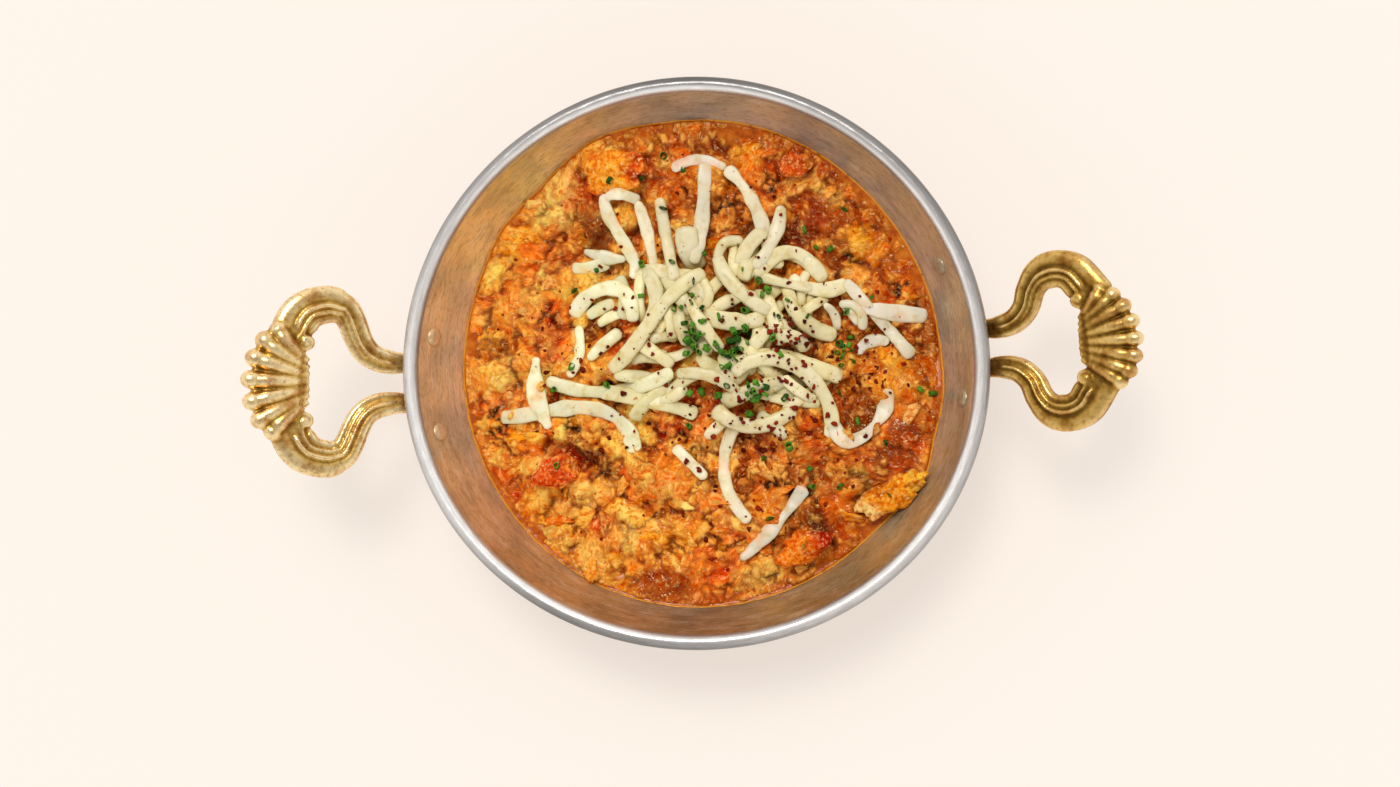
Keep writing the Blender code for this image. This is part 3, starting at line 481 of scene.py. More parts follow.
def swell(angles, places):
    """The sum at each angle of smooth bumps, each with an angle, a spread and a height."""
    total = np.zeros_like(angles)
    for middle, spread, height in places:
        apart = (np.degrees(angles) - middle + 180) % 360 - 180
        total = total + height * np.exp(-((apart / spread) ** 2))
    return total


# ---------------------------------------------------------------- the pan

# angle round the pan, and the wall's colour there, in sRGB, chosen beside the photo: worn tin and painted
# reflections
WALL_TIN_AND_SHEEN = (
    (0, (200, 181, 152)), (45, (208, 198, 170)), (90, (210, 208, 192)), (135, (254, 234, 154)),
    (180, (235, 208, 172)), (225, (209, 168, 120)), (270, (168, 141, 104)), (315, (203, 175, 118)),
)
# how the wall's tone changes from just under the rim to the food
WALL_HIGH, WALL_LOW = (0.97, 0.9, 0.82), (1.03, 1.12, 1.22)
RIM_TONE = (240, 236, 234)
# degrees round the rolled rim, from its outermost line towards its top, and how bright it is there: a
# painted highlight near the inner top and painted shade on the outer side
RIM_HIGHLIGHT_AND_SHADE = (
    (-90, 0.35), (0, 0.28), (40, 0.4), (70, 0.58), (95, 0.85), (118, 0.95), (140, 0.66), (165, 0.42),
    (180, 0.38),
)
# angle round the pan, and how bright the outer and the inner half of the rolled rim are there
RIM_LIGHT = (
    (0, 1.08, 1.07), (30, 0.65, 1.32), (60, 0.64, 0.95), (90, 0.36, 1.7), (120, 0.65, 1.4),
    (150, 0.95, 1.12), (180, 1.5, 0.88), (210, 1.45, 1.6), (240, 0.58, 1.6), (270, 0.73, 0.93),
    (300, 1.4, 0.87), (330, 1.37, 1.28),
)
OUTSIDE_TONE = (190, 128, 92)


def wall_tin_and_sheen(degrees):
    """The linear colour of the wall, worn tin with painted reflections, at angles round the pan."""
    return tones_between(degrees, *zip(*WALL_TIN_AND_SHEEN), period=360)


def pan_profile():
    """(radius, height, rim's painted highlight and shade or 0, 1 inside) along the section, from below the
    base to the floor.
    """
    fillet = FLOOR_FILLET + SHEET
    points = [(radius, 0.0, 0, 0) for radius in np.linspace(0.5, FILLET_OUT - 1, 9)]
    for turn in np.radians(np.linspace(0, 60, 10)):
        points.append((FILLET_OUT + fillet * math.sin(turn), FILLET_UP - fillet * math.cos(turn), 0, 0))
    fillet_top = points[-1][1]
    bead_out, bead_up = BEAD_AXIS
    heights = np.linspace(10, bead_up - 3.6, 16)
    points += [(float(wall_radius(up, SHEET)), up, 0, 0) for up in heights if up > fillet_top + 0.8]
    for turn in np.linspace(-145, 180, 34):
        angle = math.radians(turn)
        out, up = bead_out + BEAD_RADIUS * math.cos(angle), bead_up + BEAD_RADIUS * math.sin(angle)
        points.append((out, up, float(np.interp(turn, *zip(*RIM_HIGHLIGHT_AND_SHADE))), 0))
    heights = np.linspace(bead_up - 0.5, FILLET_UP - FLOOR_FILLET / 2, 32)
    points += [(float(wall_radius(up)), up, 0, 1) for up in heights]
    for turn in np.radians(np.linspace(56, 0, 9)):
        drop = FLOOR_FILLET * math.cos(turn)
        points.append((FILLET_OUT + FLOOR_FILLET * math.sin(turn), FILLET_UP - drop, 0, 1))
    return points + [(radius, SHEET, 0, 1) for radius in np.linspace(FILLET_OUT - 3, 0.5, 6)]


def pan_look():
    """Tin worn through to the copper: mottled, hammered, drawn out round the pan, silver on the rim."""
    look = Look("worn_tin", Metallic=0.45, Specular_IOR_Level=0.4)
    wrap = look.attribute("wrap", "Vector")

    def drawn_out(size, detail, roughness, around, along):
        return look.noise(size, detail, roughness, look.place((around, around, along), wrap))

    streaks = drawn_out(4.0, 4.0, 0.6, 0.28, 1.6)
    fine = drawn_out(0.9, 3.0, 0.6, 0.35, 1.5)
    blotch = drawn_out(13.0, 4.0, 0.55, 0.7, 1.0)
    scratch = drawn_out(0.7, 2.0, 0.7, 0.06, 1.6)
    rim_wear = look.range(drawn_out(1.6, 4.0, 0.6, 0.25, 2.0), 0.35, 0.7, 0.0, 0.5)
    dents = look.spots(3.6, look.place((0.62, 0.62, 1.0), wrap), "SMOOTH_F1")
    silver = look.attribute("silver")
    tint = look.tint()
    worn = look.mix(look.range(blotch, 0.38, 0.62), (190, 178, 172), (255, 224, 190))
    colour = look.mix(0.6, tint, look.times(tint, worn))
    pale = look.mix(1.0, colour, (255, 246, 236), "SCREEN")
    colour = look.over(colour, streaks, 0.52, 0.72, 0.16, pale)
    dark = look.times(colour, (164, 146, 136))
    colour = look.over(colour, streaks, 0.47, 0.3, 0.35, dark)
    colour = look.over(colour, fine, 0.5, 0.3, 0.55, dark)
    colour = look.over(colour, scratch, 0.6, 0.7, 0.3, (236, 228, 220))
    colour = look.over(colour, scratch, 0.4, 0.3, 0.4, dark)
    rim = look.mix(rim_wear, tint, look.times(tint, (190, 182, 178)))
    look.feed("Base Color", look.mix(silver, colour, rim))
    rough = look.range(blotch, 0.3, 0.7, 0.30, 0.46)
    rim_rough = look.range(rim_wear, 0.0, 0.5, 0.2, 0.34)
    look.feed("Roughness", look.node("Mix", ((0, silver), (2, rough), (3, rim_rough))).outputs[0])
    normal = look.bump(fine, 0.25, 0.1, look.bump(dents, 0.5, 0.35))
    look.feed("Normal", look.bump(streaks, 0.2, 0.15, normal))
    return look.material


def make_pan(material):
    """The bowl, ring by ring down its section, with faint dents in the beaten wall."""
    angles = full_turn(PAN_AROUND)
    cosine, sine = np.cos(angles), np.sin(angles)
    degrees = np.degrees(angles)
    wall = wall_tin_and_sheen(degrees)
    rim_keys, *rim_light = zip(*RIM_LIGHT)
    outer, inner = (np.interp(degrees, rim_keys, light, period=360) for light in rim_light)
    bead_out, bead_up = BEAD_AXIS
    seam = smooth(0, 0.3, angles) * smooth(2 * math.pi, 2 * math.pi - 0.3, angles)
    points, colours, silver, wrap = [], [], [], []
    run = 0.0
    profile = pan_profile()
    previous = profile[0]
    for radius, height, shade, inside in profile:
        run += math.hypot(radius - previous[0], height - previous[1])
        previous = (radius, height)
        row = ring(radius, height, angles)
        if inside and height < bead_up - 2 or (not shade and height > 6):
            along, down = angles * RIM_X + 9 * inside, np.full(PAN_AROUND, run)
            dents = DENT_DEPTH * waves(along, down, DENT_SIZE, 3, 2) * seam
            row[:, 0] += dents * cosine
            row[:, 1] += dents * sine
        points.append(row)
        if shade:
            light = blend(outer, inner, smooth(bead_out + 0.2, bead_out - 1.6, radius))
            # the rim's painted highlight and shade
            tone = linear(RIM_TONE) * (shade * light)[:, None]
        elif inside:
            # the wall's worn tin with its painted reflections
            tone = wall * blend(np.array(WALL_HIGH), np.array(WALL_LOW), smooth(40, 24, height))
        else:
            tone = linear(OUTSIDE_TONE)
        colours.append(np.broadcast_to(tone, (PAN_AROUND, 3)))
        silver.append(np.full(PAN_AROUND, float(shade > 0)))
        wrap.append(np.column_stack([RIM_X * cosine, RIM_X * sine, np.full(PAN_AROUND, run)]) * MM)
    faces = [face[::-1] for face in tube_faces(len(points), PAN_AROUND)]
    faces[-1].reverse()
    points, colours, silver, wrap = (np.concatenate(rows) for rows in (points, colours, silver, wrap))
    colours = np.clip(colours, 0, 0.98)
    return mesh_object("pan_body", points, faces, material, colours, silver=silver, wrap=wrap)


# ---------------------------------------------------------------- the handles


class HandlePlan:
    """The curved surface that a handle is laid out on, rising from the wall under the rim."""

    def __init__(self, handle):
        self.size = handle.size
        self.around = Matrix.Rotation(math.radians(handle.angle), 3, "Z")
        self.aside = Matrix.Rotation(math.radians(handle.turn), 3, "Z")
        self.rim = Vector((RIM_X * float(out_of_round(math.radians(handle.angle), RIM_TOP)), 0, 0))

    def place(self, out, side, up):
        """A point, from its distances outside the rim, to the side and above the surface."""
        whole = HANDLE_REACH + FOOT_INSET
        share = max(0.0, (out + FOOT_INSET) / whole)
        height = HANDLE_FOOT + HANDLE_RISE * share**HANDLE_BEND
        slope = HANDLE_RISE * HANDLE_BEND * share ** (HANDLE_BEND - 1) / whole
        lean = math.hypot(slope, 1)
        back, rise = up * slope / lean, self.size * up / lean
        level = Vector((self.size * (out - back), self.size * side, height + rise))
        return self.around @ (self.rim + self.aside @ level)

    def tube(self, points, half_widths, half_heights, sides):
        """(points, faces) of a closed tube along (out, side, up) points of the plan."""
        points = np.array(points, float)
        along = np.gradient(points[:, :2], axis=0)
        along /= np.hypot(along[:, 0], along[:, 1])[:, None]
        placed = []
        for (out, side, up), (ax, ay), wide, high in zip(points, along, half_widths, half_heights):
            for turn in full_turn(sides):
                sideways, upwards = wide * math.cos(turn), high * math.sin(turn)
                placed.append(self.place(out - ay * sideways, side + ax * sideways, up + upwards))
        return placed, tube_faces(len(points), sides)


def curve_through(points, count):
    """Evenly numbered points on a smooth curve through the given ones."""
    points = np.array(points, float)
    padded = np.vstack([2 * points[0] - points[1], points, 2 * points[-1] - points[-2]])
    found = []
    for share in np.linspace(0, len(points) - 1, count):
        i = min(int(share), len(points) - 2)
        t = share - i
        a, b, c, d = padded[i : i + 4]
        square, cube = 2 * a - 5 * b + 4 * c - d, 3 * b - a - 3 * c + d
        found.append(0.5 * (2 * b + (c - a) * t + square * t**2 + cube * t**3))
    return np.array(found)


def handle_line(handle):
    """(out, side) points of half the handle's middle line, from a foot to the middle of the grip."""
    points = [(-FOOT_INSET, FOOT_SIDE), (-1.0, FOOT_SIDE)]
    swan_out = handle.arch_out - ARCH_RADIUS - SWAN_RADIUS
    swan_side = FOOT_SIDE + SWAN_RADIUS
    for turn in np.radians([-90, -60, -30]):
        points.append((swan_out + SWAN_RADIUS * math.cos(turn), swan_side + SWAN_RADIUS * math.sin(turn)))
    for turn in np.radians([handle.arch_from, (handle.arch_from + 90) / 2, 90, 55, 22]):
        out = handle.arch_out + ARCH_RADIUS * math.cos(turn)
        points.append((out, handle.arch_side + ARCH_RADIUS * math.sin(turn)))
    points += [(GRIP_OUT - 4.6, 13.2), (GRIP_OUT - 1.2, 7.0), (GRIP_OUT, 0.0)]
    return points


# The rolls along each side of the bar: how far out from its middle, half width and half height, each a
# share of the bar's own half width or half height, and where along the bar the roll starts and ends
ROLLS = (
    (0.47, 0.50, 1.00, 0.0, 0.86), (-0.08, 0.17, 1.02, 0.12, 0.80), (-0.42, 0.15, 0.98, 0.24, 0.84),
    (-0.76, 0.25, 0.90, 0.0, 0.80),
)
BAR_STEPS = 90
CURL_TURNS, CURL_STEPS = 1.35, 44
KNOB_STEPS = 12


def bar_parts(handle, plan, across):
    """The core, the rolls, the curl and its knob of one side of the bar."""
    half = curve_through(handle_line(handle), BAR_STEPS)
    shares = np.linspace(0, 1, BAR_STEPS)
    keys, *sizes = np.array(BAR_SECTIONS).T
    wide, high = (np.interp(1 - shares, keys, size) for size in sizes)
    along = np.gradient(half, axis=0)
    along /= np.hypot(along[:, 0], along[:, 1])[:, None]
    outward = np.stack([-along[:, 1], along[:, 0]], axis=1)
    core = [(out, side * across, 0.0) for out, side in half]
    parts = [plan.tube(core, wide * 0.84, high * 0.72, 20)]
    for offset, width, height, start, end in ROLLS:
        picked = (shares >= start) & (shares <= end)
        line = (half + outward * (offset * wide)[:, None])[picked] * np.array((1, across))
        fade = np.sin(np.pi * np.clip((shares[picked] - start) / 0.14, 0, 0.5)) if start else 1.0
        close = np.sin(np.pi * np.clip((end - shares[picked]) / 0.10, 0.08, 0.5))
        radius = wide[picked] * width * fade * close
        rise = high[picked] * height * (0.72 - 0.3 * abs(offset)) * fade * close
        lift = high[picked] * height * (0.28 - 0.12 * abs(offset))
        parts += [plan.tube(np.column_stack([line, up]), radius, rise, 14) for up in (lift, -lift)]
    turns = np.linspace(0, CURL_TURNS * 2 * math.pi, CURL_STEPS)
    away, thick = (np.interp(turns, (0, turns[-1]), ends) for ends in ((2.9, 0.6), (1.1, 0.8)))
    lie = math.radians(60) - turns
    out, side = CURL_OUT + away * np.cos(lie), across * (CURL_SIDE + away * np.sin(lie))
    curl = np.column_stack([out, side, np.linspace(1.6, 2.7, CURL_STEPS)])
    parts.append(plan.tube(curl, thick, thick * 1.5, 12))
    knob = [(CURL_OUT + step, across * CURL_SIDE, 0.4) for step in np.linspace(-2.5, 2.5, KNOB_STEPS)]
    rounded = np.sqrt(np.clip(1 - np.linspace(-0.97, 0.97, KNOB_STEPS) ** 2, 0, 1))
    parts.append(plan.tube(knob, CURL_RADIUS * rounded, 3.4 * rounded, 14))
    return parts


def handle_parts(handle, plan):
    """(points, faces) of every overlapping piece that one cast handle is made of."""
    parts = bar_parts(handle, plan, -1) + bar_parts(handle, plan, 1)
    gaps = handle.ribs - 1
    for i in range(handle.ribs):
        parts += rib_parts(handle, plan, 2 * i / gaps - 1)
    parts += [groove_ridge(handle, plan, (2 * i + 1) / gaps - 1) for i in range(gaps)]
    return parts + [shell_part(handle, plan), plate_part(*handle.plate)]


def shell_part(handle, plan):
    """The thin shell under the ribs, which closes the grooves between them."""
    rows, steps = 25, np.linspace(0.02, 0.9, 12)
    upper, lower = [], []
    for share in np.linspace(-1, 1, rows):
        thick = 2.1 * (1 - abs(share) ** 8 * 0.5)
        for out, side, _ in rib_line(handle, share, steps, 0 * steps):
            upper.append(plan.place(out, side, thick + 0.5))
            lower.append(plan.place(out, side, -thick))
    count = len(steps)
    faces = grid_faces(rows, count)
    faces += [face[::-1] for face in grid_faces(rows, count, False, rows * count)]
    rim = list(range(count)) + [i * count + count - 1 for i in range(1, rows)]
    rim += [(rows - 1) * count + i for i in range(count - 2, -1, -1)]
    rim += [i * count for i in range(rows - 2, 0, -1)]
    for first, second in zip(rim, rim[1:] + rim[:1]):
        faces.append([second, first, first + rows * count, second + rows * count])
    return upper + lower, faces


def rib_line(handle, share, steps, ups):
    """Points of a rib that starts at the hole's edge and fans out to the rim of the shell."""
    turn, skew = math.radians(share * RIB_SPREAD), math.radians(handle.shell_turn)
    long, wide = SHELL_LONG * math.cos(turn), handle.shell_wide * math.sin(turn)
    root = np.array((RIB_ROOT_OUT, share * RIB_ROOT_SIDE))
    knob_out = SHELL_OUT + long * math.cos(skew) - wide * math.sin(skew)
    knob = np.array((knob_out, long * math.sin(skew) + wide * math.cos(skew)))
    bow = np.array((1.2 * abs(share), 0.0))
    levels = zip(steps, ups)
    return [(*(root + (knob - root) * s + bow * math.sin(math.pi * min(s, 1))), up) for s, up in levels]


def rib_parts(handle, plan, share):
    """A rib that starts in a small bump, the ball at its outer end and the crease between them."""
    scale = RIBS_AS_DRAWN / handle.ribs
    steps = np.linspace(-0.1, 0.84, 26)
    radius = np.interp(steps, *np.array(RIB_SECTIONS).T) * scale
    radius = np.maximum(radius, 1.5 * np.sqrt(np.clip(1 - (steps / 0.1) ** 2, 0.02, 1)))
    radius *= 1 - 0.14 * smooth(0.66, 0.84, steps)
    crown = 1.0 + 1.5 * np.sin(math.pi * np.clip(steps, 0, 1))
    body = plan.tube(rib_line(handle, share, steps, crown), radius * 0.99, radius * 1.15, 14)
    steps = np.linspace(0.70, 1.13, 16)
    dome = scale * np.sqrt(np.clip(1 - ((steps - 0.915) / 0.22) ** 2, 0.01, 1))
    line = rib_line(handle, share, steps, 0 * steps + 1.2)
    return [body, plan.tube(line, 3.2 * dome, 3.5 * dome, 16)]


def groove_ridge(handle, plan, share):
    """The fine line that lies in the groove between two ribs."""
    scale = RIBS_AS_DRAWN / handle.ribs
    steps = np.linspace(0.02, 0.74, 20)
    thick = 0.7 * scale * np.sqrt(np.clip(1 - ((steps - 0.38) / 0.37) ** 2, 0.02, 1))
    crown = 2.1 + 1.1 * np.sin(math.pi * np.clip(steps, 0, 1))
    return plan.tube(rib_line(handle, share, steps, crown), thick, thick * 1.3, 10)


def plate_part(start, end):
    """The plate that lies on the outside of the wall between two angles."""
    behind, front = SHEET + GAP, SHEET + GAP + PLATE_THICK
    section = [(-1, behind), (1, behind), (0.93, front - 0.4)]
    section += [(0.8, front), (-0.8, front), (-0.93, front - 0.4)]
    placed = []
    for share in np.linspace(-1, 1, 41):
        turn = np.radians([(start + end) / 2 + share * (end - start) / 2])
        tall = PLATE_HALF_HEIGHT * math.sqrt(1 - 0.75 * share**4)
        for up, offset in section:
            height = PLATE_MIDDLE + up * tall
            placed.append(ring(wall_radius(height, offset), height, turn)[0])
    return placed, tube_faces(41, len(section))


CAST_VOXEL = 0.42  # millimetres, of the cells in which the pieces of a handle are melted together
CAST_SMOOTHING, CAVITY_REACH = 3, 22  # passes that soften the cast, and that tell hollows from ridges
CAST_PAINTED_SHADE = {"left": -0.08, "right": 0.2}  # painted light on the left-hand handle and painted shade on the right-hand one


def neighbours_mean(points, edges):
    """The mean of each point's neighbours."""
    count = len(points)
    total = np.zeros_like(points)
    for k in range(points.shape[1]):
        for here, there in ((0, 1), (1, 0)):
            total[:, k] += np.bincount(edges[:, here], points[edges[:, there], k], count)
    valence = np.bincount(edges.ravel(), minlength=count)
    return total / np.maximum(valence, 1)[:, None]


def make_handle(side, material):
    """One cast handle: its pieces melted together, with how deep each point lies kept for the patina."""
    handle = HANDLES[side]
    points, faces = [], []
    for placed, quads in handle_parts(handle, HandlePlan(handle)):
        faces += [[i + len(points) for i in quad] for quad in quads]
        points += [list(p) for p in placed]
    made = mesh_object(f"cast_{side}", points, faces, material)
    shape = bmesh.new()
    shape.from_mesh(made.data)
    bmesh.ops.recalc_face_normals(shape, faces=shape.faces)
    shape.to_mesh(made.data)
    shape.free()
    melt = made.modifiers.new("melt", "REMESH")
    melt.mode = "VOXEL"
    melt.voxel_size = CAST_VOXEL * MM
    mesh = bpy.data.meshes.new_from_object(made.evaluated_get(bpy.context.evaluated_depsgraph_get()))
    made.modifiers.clear()
    made.data = mesh
    spots = read_all(mesh.vertices, "co", 3)
    edges = read_all(mesh.edges, "vertices", 2, np.int64)
    for _ in range(CAST_SMOOTHING):
        spots = spots * 0.5 + neighbours_mean(spots, edges) * 0.5
    mesh.vertices.foreach_set("co", spots.ravel())
    mesh.update()
    eased = spots
    for _ in range(CAVITY_REACH):
        eased = neighbours_mean(eased, edges)
    # how deep each point lies, plus the handle's painted shade: lighter on the left, darker on the right
    depth_and_shade = ((eased - spots) * read_all(mesh.vertices, "normal", 3)).sum(axis=1) / MM + CAST_PAINTED_SHADE[side]
    mesh.attributes.new("depth_and_shade", "FLOAT", "POINT").data.foreach_set("value", depth_and_shade.astype(np.float32))
    mesh.polygons.foreach_set("use_smooth", np.ones(len(mesh.polygons), bool))
    return made


def brass_look():
    """Old cast brass: pale gold where it is rubbed, olive brown in the hollows."""
    look = Look("old_brass", Metallic=0.95)
    blotch = look.noise(6.0, 4.0, 0.6)
    grain = look.noise(0.7, 3.0, 0.65)
    # this carries each handle's painted shade as well as how deep its hollows lie
    deep = look.maths("ADD", look.attribute("depth_and_shade"), look.range(blotch, 0.3, 0.7, -0.10, 0.10))
    deep = look.maths("ADD", deep, look.range(grain, 0.3, 0.7, -0.05, 0.05))
    colour = look.over((252, 224, 168), deep, -0.34, -0.08, 1.0, (222, 182, 104))
    colour = look.over(colour, deep, -0.04, 0.16, 1.0, (174, 134, 58))
    colour = look.over(colour, deep, 0.14, 0.42, 1.0, (112, 82, 28))
    colour = look.over(colour, blotch, 0.48, 0.66, 0.8, look.times(colour, (220, 186, 166)))
    soil = look.times(colour, (170, 144, 110))
    look.feed("Base Color", look.over(colour, look.noise(1.4, 4.0, 0.65), 0.5, 0.3, 0.7, soil))
    look.feed("Roughness", look.range(deep, -0.1, 0.4, 0.27, 0.5))
    normal = look.bump(grain, 0.25, 0.12)
    look.feed("Normal", look.bump(look.noise(2.4, 3.0), 0.25, 0.3, normal))
    return look.material


def make_rivets(material):
    """Every rivet: a low head with a rounded edge on each side of the wall, and the shank between."""
    points, faces, colours, silver = [], [], [], []
    sides = RIVET_SIDES
    outside = SHEET + GAP + PLATE_THICK + GAP
    head, rise = RIVET_HEAD_RADIUS, RIVET_HEAD
    inner = ((0.4, 0.98), (0.7, 0.86), (0.86, 0.62), (0.96, 0.3))
    outer = ((0.96, 0.3), (0.8, 0.75), (0.45, 0.97))
    profile = [(0.02, -rise)] + [(head * wide, -rise * high) for wide, high in inner]
    profile += [(head, -0.05), (head * 0.97, 0.0), (RIVET_SHANK, 0.05), (RIVET_SHANK, outside - 0.05)]
    profile += [(head * 0.97, outside), (head, outside + 0.05)]
    profile += [(head * wide, outside + rise * high) for wide, high in outer] + [(0.02, outside + rise)]
    for around, height in [rivet for handle in HANDLES.values() for rivet in handle.rivets]:
        turn = math.radians(around)
        origin = Vector(ring(wall_radius(height), height, np.array([turn]))[0])
        tilt = Matrix.Rotation(turn, 4, "Z") @ Matrix.Rotation(math.pi / 2 + FLARE, 4, "Y")
        matrix = Matrix.Translation(origin) @ tilt
        faces += grid_faces(len(profile), sides, True, len(points))
        for radius, along in profile:
            # the heads inside take the wall's worn tin with its painted reflections
            tone = wall_tin_and_sheen(around) if along < 1 else linear(OUTSIDE_TONE)
            for t in full_turn(sides):
                points.append(list(matrix @ Vector((radius * math.cos(t), radius * math.sin(t), along))))
                colours.append(tone)
                silver.append(0.22 if head * 0.9 < radius < head * 1.01 else 0.0)
    wrap = np.array(points) * MM
    return mesh_object("rivet_heads", points, faces, material, np.array(colours), silver=silver, wrap=wrap)


# ---------------------------------------------------------------- the eggs and the sauce


def sauce_inner_radius(angles):
    """The inner edge of the sauce, at its level."""
    return wall_radius(SAUCE_LEVEL, -GAP) - SAUCE_WIDTH - swell(angles, SAUCE_POOLS)


def egg_edge(angles):
    """(radius, height) of the eggs' edge: beside the sauce, or against the wall where they climb it."""
    climb = swell(angles, EGG_CLIMBS)
    height = EGG_EDGE + climb
    share = np.clip(climb / 3.0, 0, 1)
    beside = sauce_inner_radius(angles) - GAP
    against = wall_radius(height) - EGG_OFF_WALL
    return beside + (against - beside) * share, height


def curds():
    """x, y, half length, half width, heading and rise of every lump: the folds, then a seeded scatter."""
    draw = np.random.default_rng(CURD_SEED)
    found = list(FOLDS)
    places = []
    while len(places) < CURD_COUNT:
        x, y = draw.uniform(-CURD_REACH, CURD_REACH, 2)
        size = draw.uniform(5.5, 10.5)
        stretch, heading, rise = draw.uniform(0.65, 1.0), draw.uniform(0, 180), draw.uniform(2.0, 5.0)
        apart = CURD_APART * (0.75 if len(places) > CURD_COUNT * 0.7 else 1.0)
        if math.hypot(x, y) > CURD_REACH or any(math.hypot(x - a, y - b) < apart for a, b in places):
            if draw.uniform() > 0.02:
                continue
        places.append((x, y))
        found.append((x, y, size, size * stretch, heading, rise))
    return found


EDGE_UNDER_SAUCE = 0.4  # where the sauce covers the eggs


def egg_form(x, y):
    """(height, share of the way to the wall) of the eggs and their edge, without the finer curds."""
    angles = np.arctan2(y, x)
    edge_radius, edge_height = egg_edge(angles)
    edge_radius = edge_radius * out_of_round(angles, edge_height)
    wall = egg_reach(angles)
    away = np.hypot(x, y)
    share = np.clip(away / edge_radius, 0, 1)
    relief, clefts = np.zeros_like(x), np.zeros_like(x)
    for middle_x, middle_y, long, wide, heading, rise in curds():
        along, across = turned(x, y, middle_x, middle_y, math.radians(heading))
        dome = rise * np.sqrt(np.clip(1 - (along / long) ** 2 - (across / wide) ** 2, 0, 1))
        relief, clefts = np.maximum(relief, dome), np.minimum(clefts, dome)
    base = EGG_CENTRE + (edge_height - EGG_CENTRE) * share**3
    beyond = np.clip((away - edge_radius) / np.maximum(wall - edge_radius, 0.1), 0, 1)
    base = base + (sauce_surface(angles) - EDGE_UNDER_SAUCE - edge_height) * beyond
    return base + (relief + clefts - CURD_LEVEL) * (1 - share**10), away / wall


def sauce_surface(angles):
    """Height of the sauce: level in its pools, and drawn up with the eggs where they climb the wall."""
    return np.maximum(SAUCE_LEVEL, egg_edge(angles)[1] - 0.75)


def egg_reach(angles):
    """How far out the eggs go at each angle, just inside the wall."""
    height = sauce_surface(angles)
    return (wall_radius(height) - 0.5) * out_of_round(angles, height)


# How many curds of each kind, the ranges of their half lengths and of their rise, and whether they lie on
# the others
CURD_SIZES = (
    (190, (4.5, 10.0), (1.2, 2.6), False), (260, (2.4, 5.0), (0.7, 1.6), False),
    (1500, (1.0, 2.2), (0.45, 1.0), True), (3200, (0.6, 1.2), (0.35, 0.75), True),
)
# Millimetres over which two curds melt together, and how much of its own colour a curd and one on it have
CURD_MELT = 0.3
CURD_TINT, TOP_TINT = 0.56, 0.32
# The colours that the eggs run through, on the left and under the sauce on the right
PLAIN_RUN = ("cream", "golden", "orange", "red")
SAUCED_RUN = ("golden", "orange", "rose", "amber", "brown")
# How likely each colour is in the plain eggs on the left and under the sauce on the right
PLAIN_MIX = {"cream": 0.32, "golden": 0.34, "orange": 0.24, "amber": 0.02, "red": 0.08}
SAUCED_MIX = {"cream": 0.03, "golden": 0.13, "orange": 0.3, "rose": 0.16, "amber": 0.24, "brown": 0.14}
PATCH_HOLD = 0.9
# Powers that the brightness is raised to, about that of the next centimetre and about the mean
NEAR_CONTRAST, FAR_CONTRAST = 1.35, 1.3
# The painted highlight on what stands out, the painted shade of the hollows and deepest clefts, the sauce
# and the edge
KNOT_HIGHLIGHT_TONE, HOLLOW_SHADE_TONE, CLEFT_SHADE_TONE = (255, 212, 116), (166, 60, 0), (74, 34, 6)
SAUCED_TONE, EDGE_TONE, UNDER_TONE = (188, 86, 8), (204, 104, 12), (186, 92, 14)
MEAN_RELIEF = 1.25
# What the redder areas and the veins between them take from the light, and what a curd's rim does
FLUSH_SHADE, VEIN_SHADE, CURD_RIM_SHADE = (0.02, 0.4, 0.62), (0.04, 0.3, 0.5), (0.04, 0.24, 0.45)
BRIGHTNESS = (0.3, 0.6, 0.1)  # the shares of red, green and blue in it
LEFT_PAINTED_LIGHT, RIGHT_PAINTED_SHADE = (1.08, 1.05, 0.74), (0.94, 0.87, 0.58)  # painted light on the left of the eggs, painted shade on the right


def blurred(field, reach):
    """A field averaged twice over squares that reach some cells each way."""
    for _ in range(2):
        for axis in (0, 1):
            ends = [(reach + 1, reach) if k == axis else (0, 0) for k in range(field.ndim)]
            total = np.cumsum(np.pad(field, ends, mode="edge"), axis=axis)
            span = 2 * reach + 1
            size = field.shape[axis]
            upper = np.take(total, np.arange(span, span + size), axis=axis)
            field = (upper - np.take(total, np.arange(size), axis=axis)) / span
    return field


EGG_MAP_HALF, EGG_MAP_CELL = 90.0, 0.4
GROUND_HALF, GROUND_CELL = 100, 0.5


class Grid:
    """A square map of the plan, with the x and y of its points."""

    def __init__(self, half, cell):
        self.half, self.cell = half, cell
        steps = np.arange(-half, half + cell, cell)
        self.x, self.y = np.meshgrid(steps, steps, indexing="ij")

    def window(self, x, y, reach):
        """The part of the map within reach of a point."""
        low_x, low_y = (max(0, int((c - reach + self.half) / self.cell)) for c in (x, y))
        span = int(2 * reach / self.cell) + 2
        return slice(low_x, low_x + span), slice(low_y, low_y + span)

    def nearest(self, x, y):
        """The columns and rows of the cells that points lie in."""
        return tuple(np.rint((c + self.half) / self.cell).astype(int) for c in (x, y))


